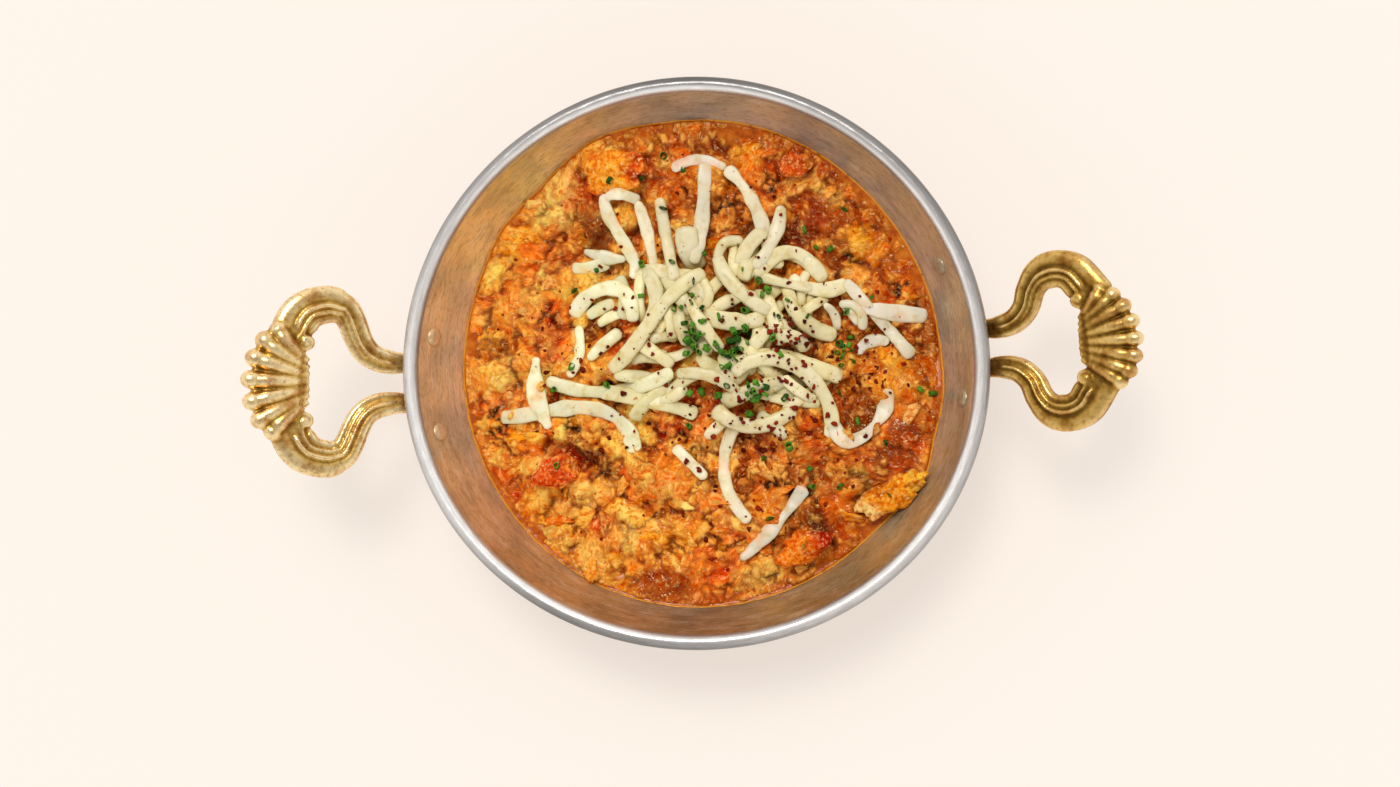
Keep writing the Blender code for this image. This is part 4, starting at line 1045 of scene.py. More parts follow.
class EggMap(Grid):
    """The finished top of the eggs: height, colour, wetness and the lie of its grain."""

    def __init__(self):
        super().__init__(EGG_MAP_HALF, EGG_MAP_CELL)
        x, y = self.x, self.y
        self.grain = np.stack([x, y, 0 * x], axis=-1)
        self.warp_x, self.warp_y = (
            1.8 * waves(x, y, 4.6, seed) + 0.7 * waves(x, y, 1.7, seed + 1, 2) for seed in (21, 23)
        )
        self.relief = 0.5 - 1.6 * np.abs(waves(x + 2 * self.warp_x, y + 2 * self.warp_y, 8.0, 11))
        self.colour = self.broad_colour()
        self.form, self.share = egg_form(x, y)
        draw = np.random.default_rng(EGG_SEED)
        for count, *kind in CURD_SIZES:
            for _ in range(count):
                self.lay_curd(draw, *kind)
        self.finish()

    def broad_colour(self):
        """The colour of the mass of eggs, which runs smoothly through the named ones and the patches."""
        x, y = self.x + 1.5 * self.warp_x, self.y + 1.5 * self.warp_y
        place = np.clip(0.46 + 1.25 * waves(x, y, 11, 51, 4), 0, 1)
        plain, sauced = (
            tones_between(place, np.linspace(0, 1, len(run)), [PALETTE[name] for name in run])
            for run in (PLAIN_RUN, SAUCED_RUN)
        )
        colour = tinted(plain, sauced, self.under_sauce(self.x, self.y))
        for *oval, name, strength in PATCHES:
            colour = tinted(colour, linear(PALETTE[name]), min(1.0, 1.2 * strength) * patch(x, y, *oval))
        return colour

    @staticmethod
    def under_sauce(x, y):
        """How much the eggs are like those on the right, which lie under the sauce."""
        return smooth(-22, 26, x + 0.35 * y)

    def tone_at(self, draw, x, y):
        """A colour for a curd: that of the patch it lies in, or one drawn from what is common there."""
        common = SAUCED_MIX if draw.uniform() < self.under_sauce(x, y) else PLAIN_MIX
        chances = list(common.values())
        chosen = int(np.searchsorted(np.cumsum(chances), draw.uniform() * sum(chances)))
        name = list(common)[min(chosen, len(common) - 1)]
        for *oval, patch_name, strength in PATCHES:
            if draw.uniform() < PATCH_HOLD * strength * patch(x, y, *oval) ** 0.6:
                name = patch_name
        tone = linear(PALETTE[name]) * draw.uniform(0.68, 1.15)
        return np.clip(tone * (1, draw.uniform(0.86, 1.1), draw.uniform(0.7, 1.15)), 0, 0.98)

    def lay_curd(self, draw, lengths, rises, on_top):
        """One curd with a ragged outline, steep sides and a tilted top, where it rises over the others."""
        angle, away = draw.uniform(0, 2 * math.pi), FOOD_REACH * math.sqrt(draw.uniform())
        x, y = away * math.cos(angle), away * math.sin(angle)
        long = draw.uniform(*lengths)
        wide = long * draw.uniform(0.42, 0.95)
        heading, rise = draw.uniform(0, 2 * math.pi), draw.uniform(*rises)
        tilt_along, tilt_across = draw.uniform(-0.4, 0.4, 2)
        steep = draw.uniform(1.3, 2.6)
        phases = draw.uniform(0, 2 * math.pi, 3)
        tone = self.tone_at(draw, x, y)
        near = self.window(x, y, long * 1.35 + 1)
        bent_x, bent_y = self.x[near] + self.warp_x[near], self.y[near] + self.warp_y[near]
        along, across = turned(bent_x, bent_y, x, y, heading)
        along, across = along / long, across / wide
        turn = np.arctan2(across, along)
        ragged = 1 + 0.14 * np.sin(2 * turn + phases[0]) + 0.10 * np.sin(3 * turn + phases[1])
        ragged += 0.08 * np.sin(5 * turn + phases[2])
        out = np.hypot(along, across) / ragged
        below = self.relief[near]
        middle = below[below.shape[0] // 2, below.shape[1] // 2]
        dome = np.clip(1 - out**steep, 0, 1) ** 0.75
        height = rise * dome * (1 + tilt_along * along + tilt_across * across)
        height = height + (0.85 * middle if on_top else draw.uniform(-0.2, 0.7))
        melt = np.clip(0.5 + (height - below) / (2 * CURD_MELT), 0, 1) * (out < 1)
        joined = blend(below, height, melt) + CURD_MELT * melt * (1 - melt)
        self.relief[near] = np.where(out < 1, joined, below)
        shaded = tone * (1 - smooth(0.35, 1.0, out)[..., None] * CURD_RIM_SHADE)
        self.colour[near] = tinted(self.colour[near], shaded, melt * (TOP_TINT if on_top else CURD_TINT))
        lie = np.stack([along * long, across * wide, np.full(along.shape, 7 * phases[0])], axis=-1)
        self.grain[near] = np.where((melt > 0.5)[..., None], lie, self.grain[near])

    def finish(self):
        """Sauce over the curds, and painted light and shade by how far each point stands out."""
        x, y = self.x, self.y
        saucy = np.max([patch(x, y, *place) for place in SAUCY], axis=0)
        saucy = 0.8 * smooth(0.2, 1.0, saucy + 0.3 * waves(x, y, 6, 40))
        calm = smooth(-0.1, 0.5, waves(x, y, 17, 49, 2))
        fine = self.relief - blurred(self.relief, 5)
        relief = (self.relief - MEAN_RELIEF - fine) * (1 - 0.5 * saucy) * (1 - 0.35 * calm)
        relief = relief + fine - 0.5 * saucy
        edge = smooth(0.93, 1.0, self.share)
        relief = relief + (0.3 + 0.5 * waves(x, y, 6, 41)) * edge
        self.height = self.form + relief * (1 - smooth(0.992, 1.01, self.share))
        # painted shade in the hollows and clefts and a painted highlight on what stands out, from the relief
        # round it
        fine, broad = (relief - blurred(relief, reach) for reach in (3, 9))
        mass = self.form + relief - blurred(self.form + relief, 22)
        hollow = smooth(0.0, 1.1, -broad) + smooth(0.0, 0.25, -fine) + smooth(0.1, 1.9, -mass)
        hollow = np.clip(hollow * 0.4, 0, 1)
        proud = smooth(0.1, 1.1, broad) * 0.25 + smooth(0.02, 0.3, fine) * 0.55
        proud = np.clip(proud + smooth(0.1, 1.9, mass) * 0.3, 0, 1)
        deep = smooth(0.55, 1.0, hollow) * (0.25 + 0.65 * smooth(0.0, 0.5, waves(x, y, 9, 48, 2)))
        cloudy = linear(SAUCED_TONE) * (1 + 0.6 * waves(x, y, 7, 43)[..., None])
        colour = tinted(blurred(self.colour, 1), linear(HOLLOW_SHADE_TONE), 0.75 * hollow)
        colour = tinted(colour, linear(CLEFT_SHADE_TONE), deep)
        colour = tinted(colour, linear(KNOT_HIGHLIGHT_TONE), 0.64 * proud * (1 - 0.8 * saucy))
        colour = tinted(colour, cloudy, 0.6 * saucy)
        colour = tinted(colour, linear(EDGE_TONE), 0.4 * edge)
        bent_x, bent_y = x + self.warp_x, y + self.warp_y
        flush = smooth(0.05, 0.42, waves(bent_x, bent_y, 10, 47, 4))[..., None]
        veins = smooth(0.1, 0.42, waves(bent_x, bent_y, 4.2, 52, 3))[..., None]
        colour = colour * (1 - flush * FLUSH_SHADE) * (1 - veins * VEIN_SHADE)
        light = colour @ np.array(BRIGHTNESS)
        nearby = blurred(light, 30)
        gain = (light / nearby) ** (NEAR_CONTRAST - 1) * (nearby / nearby.mean()) ** (FAR_CONTRAST - 1)
        gain = np.minimum(gain, 0.97 / colour.max(axis=-1))[..., None]
        # painted light on the left of the eggs and painted shade on the right
        gain = gain * blend(np.array(LEFT_PAINTED_LIGHT), np.array(RIGHT_PAINTED_SHADE), smooth(-50, 60, x)[..., None])
        self.colour = np.clip(colour * gain, 0.0005, 0.98)
        self.bumps = relief - blurred(relief, 14)
        # the fine pattern of the eggs' colour, which carries their painted light and shade
        self.mottle_and_shade = np.clip(self.colour / blurred(self.colour, 10), 0.55, 1.6)
        spots = smooth(0.1, 0.45, waves(x, y, 2.3, 45))
        self.wet = np.clip(0.2 + 0.25 * saucy + 0.5 * spots + 0.2 * edge, 0, 1)

    def at(self, field, x, y):
        """A field at points of the plan, blended between its cells."""
        u, v = (np.clip((c + self.half) / self.cell, 0, len(field) - 1.001) for c in np.atleast_1d(x, y))
        i, j = u.astype(int), v.astype(int)
        u, v = u - i, v - j
        if field.ndim == 3:
            u, v = u[:, None], v[:, None]
        return blend(*(blend(field[k, j], field[k, j + 1], v) for k in (i, i + 1)), u)


EGG_ROWS = 301
EGG_BASE_LEVELS = 9.0, 5.0


def square_to_disc(count):
    """(share of the radius, angle) for a square grid of points bent into a disc."""
    a, b = np.meshgrid(*[np.linspace(-1, 1, count)] * 2, indexing="ij")
    wide = np.abs(a) > np.abs(b)
    radius = np.where(wide, a, b)
    safe = np.where(radius == 0, 1, radius)
    turn = np.where(wide, math.pi / 4 * b / safe, math.pi / 2 - math.pi / 4 * a / safe)
    return np.abs(radius).ravel(), np.where(radius < 0, turn + math.pi, turn).ravel()


def make_eggs(eggs, material):
    """The eggs: their finished top over a square grid bent into a disc, with a plain underside."""
    share, angles = square_to_disc(EGG_ROWS)
    radius = share * egg_reach(angles)
    x, y = radius * np.cos(angles), radius * np.sin(angles)
    faces = grid_faces(EGG_ROWS, EGG_ROWS)
    last = EGG_ROWS - 1
    rim = [i * EGG_ROWS for i in range(last)] + [last * EGG_ROWS + i for i in range(last)]
    rim += [(last - i) * EGG_ROWS + last for i in range(last)] + [last - i for i in range(last)]
    rim_angles = angles[rim]
    below = SAUCE_LEVEL - SAUCE_DEPTH - GAP
    ledge = np.minimum(sauce_inner_radius(rim_angles) - GAP, wall_radius(below, -GAP) - SAUCE_WIDTH)
    levels = (below, *EGG_BASE_LEVELS)
    sections = [(ledge, below)] + [(wall_radius(height, -GAP), height) for height in levels]
    points = [np.stack([x, y, eggs.at(eggs.height, x, y)], axis=1)]
    upper, used = rim, len(x)
    for section_radius, height in sections + [(FILLET_OUT - 1, SHEET + GAP)]:
        points.append(ring(section_radius + 0 * rim_angles, height, rim_angles))
        lower = list(range(used, used + len(rim)))
        faces += [[upper[i - 1], upper[i], lower[i], lower[i - 1]] for i in range(len(rim))]
        upper = lower
        used += len(rim)
    faces.append(upper)
    hidden = used - len(x)
    colours = np.vstack([eggs.at(eggs.colour, x, y), np.tile(linear(UNDER_TONE), (hidden, 1))])
    wet = np.r_[eggs.at(eggs.wet, x, y), np.ones(hidden)]
    grain = np.vstack([eggs.grain[eggs.nearest(x, y)], np.zeros((hidden, 3))]) * MM
    points = np.concatenate(points)
    return mesh_object("scrambled_eggs", points, faces, material, colours, wet=wet, grain=grain)


def egg_look():
    """Soft curds, finely knotted and torn, wet in spots: painted light on knots, painted shade in hollows,
    painted glints.
    """
    look = Look(
        "scrambled_egg", Specular_IOR_Level=0.02, Coat_Roughness=0.07,
        Subsurface_Weight=0.08, Subsurface_Radius=(1.0, 0.4, 0.12), Subsurface_Scale=1.2 * MM,
    )

    def vectors(operation, *inputs):
        return look.node("VectorMath", inputs, operation=operation).outputs[0]

    grain = look.place(source=look.attribute("grain", "Vector"))
    drawn = look.node("Mapping", (("Vector", grain), ("Scale", (0.55, 1.15, 1)))).outputs["Vector"]
    bend = vectors("SUBTRACT", (0, look.noise(1.6, 2.0, 0.5, grain, "Color")), (1, (0.5, 0.5, 0.5)))
    bent = vectors("ADD", (0, drawn), (1, vectors("SCALE", (0, bend), (3, 1.5))))
    knots = look.maths("MULTIPLY", look.spots(1.5, bent), 0.45)
    threads = look.maths("MULTIPLY", look.noise(1.1, 4.0, 0.62, bent), 1.15)
    specks = look.maths("MULTIPLY", look.noise(0.42, 2.0, 0.6), 0.22)
    level = look.maths("ADD", look.maths("SUBTRACT", threads, knots), specks)
    tint = look.tint()
    # painted light on the high threads and knots and painted shade in the low places, as the bump lies
    colour = look.over(tint, level, 0.50, 0.70, 0.7, look.mix(0.5, tint, (255, 220, 146)))
    colour = look.over(colour, level, 0.46, 0.26, 0.8, look.times(tint, (220, 124, 20)))
    wet = look.attribute("wet")
    # painted glints: pale specks where it is wet and stands high
    painted_glint = look.maths("ADD", look.noise(0.75, 1.0, 0.4), look.range(wet, 0.2, 0.9, -0.05, 0.05))
    painted_glint = look.maths("ADD", painted_glint, look.range(level, 0.3, 0.7, -0.05, 0.05))
    look.feed("Base Color", look.over(colour, painted_glint, 0.66, 0.74, 0.75, (255, 228, 170)))
    look.feed("Roughness", look.range(wet, 0.0, 1.0, 0.6, 0.35))
    drops = look.range(look.noise(1.7, 2.0, 0.5), 0.3, 0.7, -0.5, 0.5)
    look.feed("Coat Weight", look.range(look.maths("ADD", wet, drops), 0.72, 0.84, 0.0, 0.75))
    look.feed("Normal", look.bump(level, 0.6, 0.6))
    look.feed("Coat Normal", look.bump(look.noise(1.8, 1.0, 0.5), 1.0, 1.4))
    return look.material


# Counts of thin torn flaps and of small curds that lie loose on the eggs, and how many degrees they lean
FLAPS, CRUMBS, TORN_LEAN = 150, 50, 17


def flap_mesh(draw, long, wide):
    """(points, faces) of a thin torn sheet, bent along its length, with a ragged edge."""
    sides = 16
    turns = full_turn(sides)
    ragged = 1 + 0.16 * np.sin(2 * turns + draw.uniform(0, 6))
    ragged = ragged + 0.13 * np.sin(5 * turns + draw.uniform(0, 6)) + draw.uniform(-0.13, 0.13, sides)
    arch, twist = draw.uniform(0.1, 0.42), draw.uniform(-0.35, 0.35)
    thick = draw.uniform(0.28, 0.55)
    steps = np.linspace(0, 1, 4)
    layers = []
    for up, inward, shares in ((1, 1.0, steps[1:]), (-1, 0.94, steps[:0:-1])):
        for share in shares:
            x, y = share * inward * ragged * np.cos(turns), share * inward * ragged * np.sin(turns)
            lift = arch * long * (1 - x**2) + twist * wide * x * y
            lift = lift + 0.12 * np.sin(7 * x + turns * 2) * share
            edge = thick * (0.35 if share == 1 else 1.0)
            layers.append(np.column_stack([long * x, wide * y, lift + up * edge]))
    middle = arch * long
    points = np.vstack([[(0, 0, middle + thick)], *layers, [(0, 0, middle - thick)]])
    base = 1 + (len(layers) - 1) * sides
    faces = [[0, 1 + i, 1 + (i + 1) % sides] for i in range(sides)]
    faces += [face[::-1] for face in grid_faces(len(layers), sides, True, 1)]
    faces += [[base + (i + 1) % sides, base + i, base + sides] for i in range(sides)]
    return points - (0, 0, 0.8 * middle), faces


def curd_mesh(draw, size):
    """(points, faces) of a small lumpy curd."""
    unit, faces = round_ball(3)
    seed = int(draw.integers(1000))
    lumps = 0.30 * waves(2 * unit[:, 0] + unit[:, 2], 2 * unit[:, 1] - unit[:, 2], 1.3, seed, 2)
    stretch = draw.uniform(0.9, 1.5), 1.0, draw.uniform(0.5, 0.8)
    return unit * (1 + lumps)[:, None] * size * stretch, faces


def make_torn_bits(eggs, ground, material):
    """Loose flaps and small curds that stand up from the eggs and give them true edges."""
    scatter = Scatter()
    draw = np.random.default_rng(TORN_SEED)
    places = []
    while len(places) < FLAPS + CRUMBS:
        angle, away = draw.uniform(0, 2 * math.pi), 0.97 * math.sqrt(draw.uniform())
        away *= float(egg_reach(angle))
        x, y = away * math.cos(angle), away * math.sin(angle)
        in_heap = math.hypot((x - CORE_X) / CORE_LONG, (y - CORE_Y) / CORE_WIDE) < 1
        on_chunk = any(math.hypot(x - c[0], y - c[1]) < s[0] * 0.8 for c, s, *_ in CHUNKS.values())
        saucy = max(patch(x, y, *place) for place in SAUCY)
        if not (in_heap or on_chunk or draw.uniform() < 0.85 * saucy):
            places.append((x, y))
    for i, (x, y) in enumerate(places):
        if i < FLAPS:
            long = draw.uniform(2.4, 6.0)
            points, faces = flap_mesh(draw, long, long * draw.uniform(0.3, 0.6))
        else:
            points, faces = curd_mesh(draw, draw.uniform(0.7, 1.9))
        lean = [Matrix.Rotation(math.radians(draw.normal(0, TORN_LEAN)), 3, axis) for axis in "YX"]
        spin = Matrix.Rotation(draw.uniform(0, 2 * math.pi), 3, "Z")
        matrix = surface_turn(ground, x, y) @ (lean[0] @ lean[1]) @ spin
        height = eggs.at(eggs.height, x, y)[0] + (-0.35 if i < FLAPS else 0.1)
        own = eggs.tone_at(draw, x, y) * draw.uniform(0.9, 1.1)
        tone = 0.6 * eggs.at(eggs.colour, x, y)[0] + 0.4 * own
        scatter.add(points, faces, matrix, (x, y, height), tone)
    points = np.concatenate(scatter.points)
    return scatter.build("torn_curds", material, wet=np.full(len(points), 0.35), grain=points * MM)


# The top of the sauce, as distances in from the wall and heights over its level
SAUCE_STEPS = (
    (0.0, 0.5), (0.15, 0.3), (0.45, 0.12), (0.9, 0.03), (1.8, 0.0), (3.4, -0.05), (4.8, -0.2), (6.6, -0.6),
    (9.0, -2.4),
)
SAUCE_AROUND = 720
# The colours of the sauce at the wall, on its top and below
FILM_TONE, POOL_TONE, DEEP_TONE = (232, 150, 40), (182, 82, 5), (176, 84, 12)


def make_sauce(material):
    """The oily sauce: level in its pools, and drawn up as a film where it meets the metal."""
    count = SAUCE_AROUND
    angles = full_turn(count)
    cosine, sine = np.cos(angles), np.sin(angles)
    surface = sauce_surface(angles) + 0.22 * waves(60 * cosine, 60 * sine, 5, 7)
    crawl = 0.5 + 0.5 * waves(90 * cosine, 90 * sine, 4, 8)
    points, tones = [], []
    for inward, up in SAUCE_STEPS:
        height = surface + up * (0.7 + 1.3 * crawl)
        points.append(ring(wall_radius(height, -0.06) - inward, height, angles))
        tones.append(FILM_TONE if inward < 0.2 else POOL_TONE)
    bottom = SAUCE_LEVEL - SAUCE_DEPTH
    for inward in (SAUCE_WIDTH, 0):
        points.append(ring(wall_radius(bottom, -GAP) - inward, bottom, angles))
        tones.append(DEEP_TONE)
    faces = hoop_faces(len(points), count)
    colours = np.repeat(linear(tones), count, axis=0)
    return mesh_object("oily_sauce", np.concatenate(points), faces, material, colours)


def sauce_look():
    look = Look(
        "oily_sauce", Roughness=0.09, Specular_IOR_Level=0.22,
        Subsurface_Weight=0.2, Subsurface_Radius=(1.0, 0.4, 0.1), Subsurface_Scale=2.0 * MM,
    )
    clouds = look.noise(3.0, 4.0, 0.6)
    colour = look.over(look.tint(), clouds, 0.45, 0.7, 0.6, (222, 138, 40))
    look.feed("Base Color", look.over(colour, clouds, 0.45, 0.3, 0.7, (126, 56, 6)))
    look.feed("Normal", look.bump(look.noise(2.2, 3.0), 0.35, 0.5))
    return look.material


# ---------------------------------------------------------------- chunks


# How much each chunk is flattened, how rough it is, how much of the eggs' relief and of their mottling,
# painted light and shade included, it has, and its colours: low down, high up and at one end
CHUNK_LOOKS = {
    "yolk_chunk": (0.75, 0.7, 0.45, 0.3, ((236, 124, 10), (255, 172, 44), (218, 66, 6))),
    "tomato_back": (0.8, 1.0, 0.7, 0.5, ((190, 56, 6), (226, 104, 30), (236, 140, 40))),
    "tomato_left": (0.72, 1.3, 0.9, 0.6, ((202, 52, 6), (226, 92, 20), (240, 132, 34))),
    "tomato_front": (0.85, 0.6, 0.3, 0.3, ((206, 66, 5), (246, 138, 24), (178, 36, 3))),
    "egg_flap": (1.0, 0.8, 0.4, 0.3, ((196, 96, 8), (244, 156, 26), (250, 180, 40))),
}
FLAP_PALE, FLAP_STRIPE = (252, 204, 120), (158, 66, 6)


def make_chunk(name, eggs, material):
    """One larger piece of tomato or set egg, knotted like the eggs round it."""
    centre, sizes, heading, tilt, seed = CHUNKS[name]
    flatness, roughness, knotted, mottled, tones = CHUNK_LOOKS[name]
    phases = np.random.default_rng(seed).uniform(0, 2 * math.pi, 3)
    unit, faces = round_ball(6)
    lie = Matrix.Rotation(math.radians(heading), 3, "Z") @ Matrix.Rotation(math.radians(tilt), 3, "Y")
    lumps = np.sin(3 * unit + phases).sum(axis=1)
    grown = unit * (1, 1, flatness) * np.array(sizes) * (1 + CHUNK_LUMPS * lumps)[:, None]
    along, across = grown[:, 0] + 3 * grown[:, 2], grown[:, 1] - 2 * grown[:, 2]
    rough = roughness * waves(along, across, 5.2, 200 + seed, 2)
    ragged = 1 + 0.4 * waves(6 * unit[:, 0], 6 * unit[:, 1], 3.4, 240 + seed, 3)
    grown[:, :2] *= ragged[:, None]
    grown += unit * rough[:, None] * (0.7, 0.7, 1.0)
    points = grown @ np.array(lie).T + np.array(centre)
    x, y = points[:, 0], points[:, 1]
    points[:, 2] += knotted * eggs.at(eggs.bumps, x, y) * smooth(-0.2, 0.5, unit[:, 2])
    level = 0.35 + 0.5 * waves(along, across, 4.2, 220 + seed) + 0.45 * unit[:, 2] + 0.25 * rough
    level = np.clip(level, 0, 1)
    end = smooth(0.15, 0.75, unit[:, 0] + 0.3 * waves(along, across, 3, 230 + seed))
    low, high, other = linear(tones)
    colour = tinted(tinted(low, high, level), other * (0.6 + 0.5 * level)[:, None], end)
    if name == "egg_flap":
        colour = tinted(colour, linear(FLAP_PALE), smooth(-0.45, -0.85, unit[:, 0]))
        stripe = 0.65 * smooth(0.0, 0.5, waves(along / 2.6, across, 2.2, 261))
        colour = tinted(colour, linear(FLAP_STRIPE), stripe)
    # the eggs' mottling, and with it their painted light and shade
    colour = colour * eggs.at(eggs.mottle_and_shade, x, y) ** mottled
    if name != "egg_flap":
        merged = 0.85 * smooth(0.62, 0.25, unit[:, 2] + 0.35 * waves(along, across, 3.6, 250 + seed))
        colour = tinted(colour, eggs.at(eggs.colour, x, y), merged)
    colour = np.clip(colour, 0, 0.98)
    wet, grain = np.full(len(points), 0.4), points * (1.7, 0.8, 1.4) * MM
    return mesh_object(f"piece_{name}", points, faces, material, colour, wet=wet, grain=grain)


# ---------------------------------------------------------------- the cheese


class Ground(Grid):
    """The height of what lies below, kept for each cell of a fine grid."""

    def __init__(self):
        super().__init__(GROUND_HALF, GROUND_CELL)
        self.top = np.zeros(self.x.shape)

    def highest(self, x, y, reach):
        return float(self.top[self.window(x, y, reach)].max())

    def lay(self, x, y, reach, height):
        """Raises the map to a height within reach of a point."""
        window = self.window(x, y, reach)
        near = np.hypot(self.x[window] - x, self.y[window] - y) <= reach
        self.top[window] = np.where(near, np.maximum(self.top[window], height), self.top[window])


def through(points):
    """Evenly spaced points on the smooth curve through three or four points."""
    points = np.array(points, float)
    chords = np.r_[0, np.cumsum(np.hypot(*np.diff(points, axis=0).T))]
    fine = np.linspace(0, chords[-1], 80)
    fitted = [np.polyfit(chords, column, len(points) - 1) for column in points.T]
    curve = np.stack([np.polyval(terms, fine) for terms in fitted], axis=1)
    run = np.r_[0, np.cumsum(np.hypot(*np.diff(curve, axis=0).T))]
    stops = np.linspace(0, run[-1], max(4, round(run[-1] / SHRED_STEP) + 1))
    return np.stack([np.interp(stops, run, column) for column in curve.T], axis=1)


def fill_shreds(count, seed):
    """Paths of the strips that fill the heap: a seeded scatter that follows its lie."""
    draw = np.random.default_rng(seed)
    paths = []
    for _ in range(count):
        x, y = CORE_X + draw.uniform(-0.9, 0.9) * CORE_LONG, CORE_Y + draw.uniform(-0.9, 0.9) * CORE_WIDE
        heading = math.radians((100 if y > CORE_Y else 10) + draw.uniform(-55, 55))
        turns = heading + math.radians(draw.uniform(-60, 60)) * np.linspace(-0.5, 0.5, 5)
        steps = np.stack([np.cos(turns), np.sin(turns)], axis=1)
        run = np.cumsum(steps, axis=0) * draw.uniform(16, 26) / 5
        paths.append(run - run.mean(axis=0) + (x, y))
    return paths


def resting_heights(path, floor):
    """The underside of a strip over a path, sagging until it meets the floor, a function of x and y."""
    need = np.array([floor(x, y) for x, y in path])
    low = need.copy()
    for _ in range(12):
        low[1:-1] = np.maximum(need[1:-1], (low[:-2] + low[2:]) / 2 - SHRED_DROOP)
    return low


STRIP_SIDES, STRIP_STEP = 16, 0.8
STRIP_SQUARE = 0.8  # the power that a circle is raised to for the section: less is squarer
BLUNT_END = 1.3


def strip_mesh(path, low, wide, thick, seed, uneven):
    """(points, faces) of one shred: a soft strip with rounded corners, blunt ends and a varied width."""
    draw = np.random.default_rng(seed)
    length = np.hypot(*np.diff(path, axis=0).T).sum()
    count = max(14, int(length / STRIP_STEP))
    centres = curve_through(np.column_stack([path, low + thick / 2]), count)
    along = np.gradient(centres, axis=0)
    along /= np.linalg.norm(along, axis=1)[:, None]
    across = np.column_stack([-along[:, 1], along[:, 0], np.zeros(count)])
    across /= np.linalg.norm(across, axis=1)[:, None]
    ups = np.cross(along, across)
    run = np.linspace(0, length, count)
    offset = draw.uniform(0, 500)

    def varied(size, kind, octaves):
        return waves(run + offset, run * 0 + seed, size, kind, octaves)

    roll = (0.35 * varied(14, 301, 2) + draw.uniform(-0.12, 0.12))[:, None]
    end = np.minimum(run, length - run)
    blunt = np.sqrt(np.clip(1 - (1 - np.clip(end / BLUNT_END, 0, 1)) ** 2, 0.16, 1))
    widths = wide / 2 * (1 + 0.26 * uneven * varied(8, 303, 3)) * blunt
    thicks = thick / 2 * (1 + 0.10 * varied(5, 304, 2)) * blunt
    widths *= 1 - draw.uniform(0.0, 0.17) * uneven * (1 - smooth(0, 8, end))
    turns = full_turn(STRIP_SIDES)
    flat, tall = (np.sign(c) * np.abs(c) ** STRIP_SQUARE for c in (np.cos(turns), np.sin(turns)))
    pits = waves(run[:, None] + 5 * turns + offset, turns * 3 + 0 * roll, 1.6, 305, 2)
    pits = 1 + 0.07 * np.cos(3 * turns + offset + 3 * roll) + 0.035 * pits
    side, top = across * np.cos(roll) + ups * np.sin(roll), ups * np.cos(roll) - across * np.sin(roll)
    points = centres[:, None] + (flat * widths[:, None] * pits)[..., None] * side[:, None]
    points = points + (tall * thicks[:, None] * pits)[..., None] * top[:, None]
    faces = tube_faces(count, STRIP_SIDES)
    faces[-2].reverse()
    return points.reshape(-1, 3), faces


EXTRA_FILL, EXTRA_SEED = 23, 77
HOLLOW_X, HOLLOW_Y, HOLLOW_REACH = 11, 6, 7.5  # where the heap is open, and the chives lie
SHOWN_SINK, SHOWN_LIFT = 0.35, 1.6  # the strips that show press less into those below, and lie higher
# width, then points of more strips in the heap
FINE_SHREDS = (
    (6.0, (2, 17), (13, 15), (24, 16)), (4.6, (-3, 23), (4, 12), (9, 5)),
    (5.4, (22, 38), (36, 37), (44, 29)), (6.4, (13, -1), (24, 3), (36, 1), (50, -4)),
    (5.4, (8, -13), (19, -9), (31, -5)), (5.2, (-18, 33), (-14, 25), (-17, 13)),
    (4.8, (-11, 24), (-9, 17), (-8, 9)), (4.6, (-6, 19), (-5, 13), (-3, 7)),
    (5.0, (-20, 8), (-14, 4), (-8, 0)), (3.8, (-39, 17), (-34, 20), (-29, 22)),
    (3.6, (-35, 14), (-30, 17), (-25, 18)), (4.6, (-38, 2), (-32, 8), (-27, 12)),
    (4.0, (36, 17), (41, 21), (45, 23)), (3.2, (44, 21), (47, 18), (48, 12)),
    (3.4, (50, 21), (53, 18), (56, 14)), (7.4, (-4, 48), (-3, 40), (0, 33)),
    (4.2, (13, 42), (13, 36), (15, 30)), (4.6, (20, 43), (18, 36), (16, 29)),
    (4.2, (21, -17), (26, -20), (31, -25)), (3.8, (3, -25), (6, -22), (10, -19)),
    (4.4, (27, 8), (33, 10), (38, 5)), (4.0, (12, 22), (17, 24), (22, 22)),
    (4.4, (30, -4), (36, -9), (41, -12)), (4.8, (-28, 31), (-25, 24), (-26, 16)),
    (3.6, (-13, 25), (-6, 31), (2, 29), (3, 19)), (3.6, (16, 43), (8, 40), (8, 33), (15, 28)),
    (4.8, (15, 32), (18, 41), (26, 48)), (3.4, (20, 31), (31, 28), (42, 26)),
    (3.4, (49, 21), (55, 20), (57, 12)), (3.4, (14, -10), (22, -7), (31, -6)),
    (4.2, (16, 29), (22, 34), (30, 35)),
)


CHEESE_TONE, MELTED_TONE = (234, 222, 173), (228, 224, 208)
# What a strip's underside, its streaks and the strips over it take from its light
UNDERSIDE_SHADE, STREAK_SHADE, COVER_SHADE = (0.17, 0.18, 0.5), (0.06, 0.07, 0.2), (0.24, 0.34, 0.62)
END_SINK, MELT_SINK = 1.3, 0.5  # how far a strip's ends press down, and a melted strip as a whole


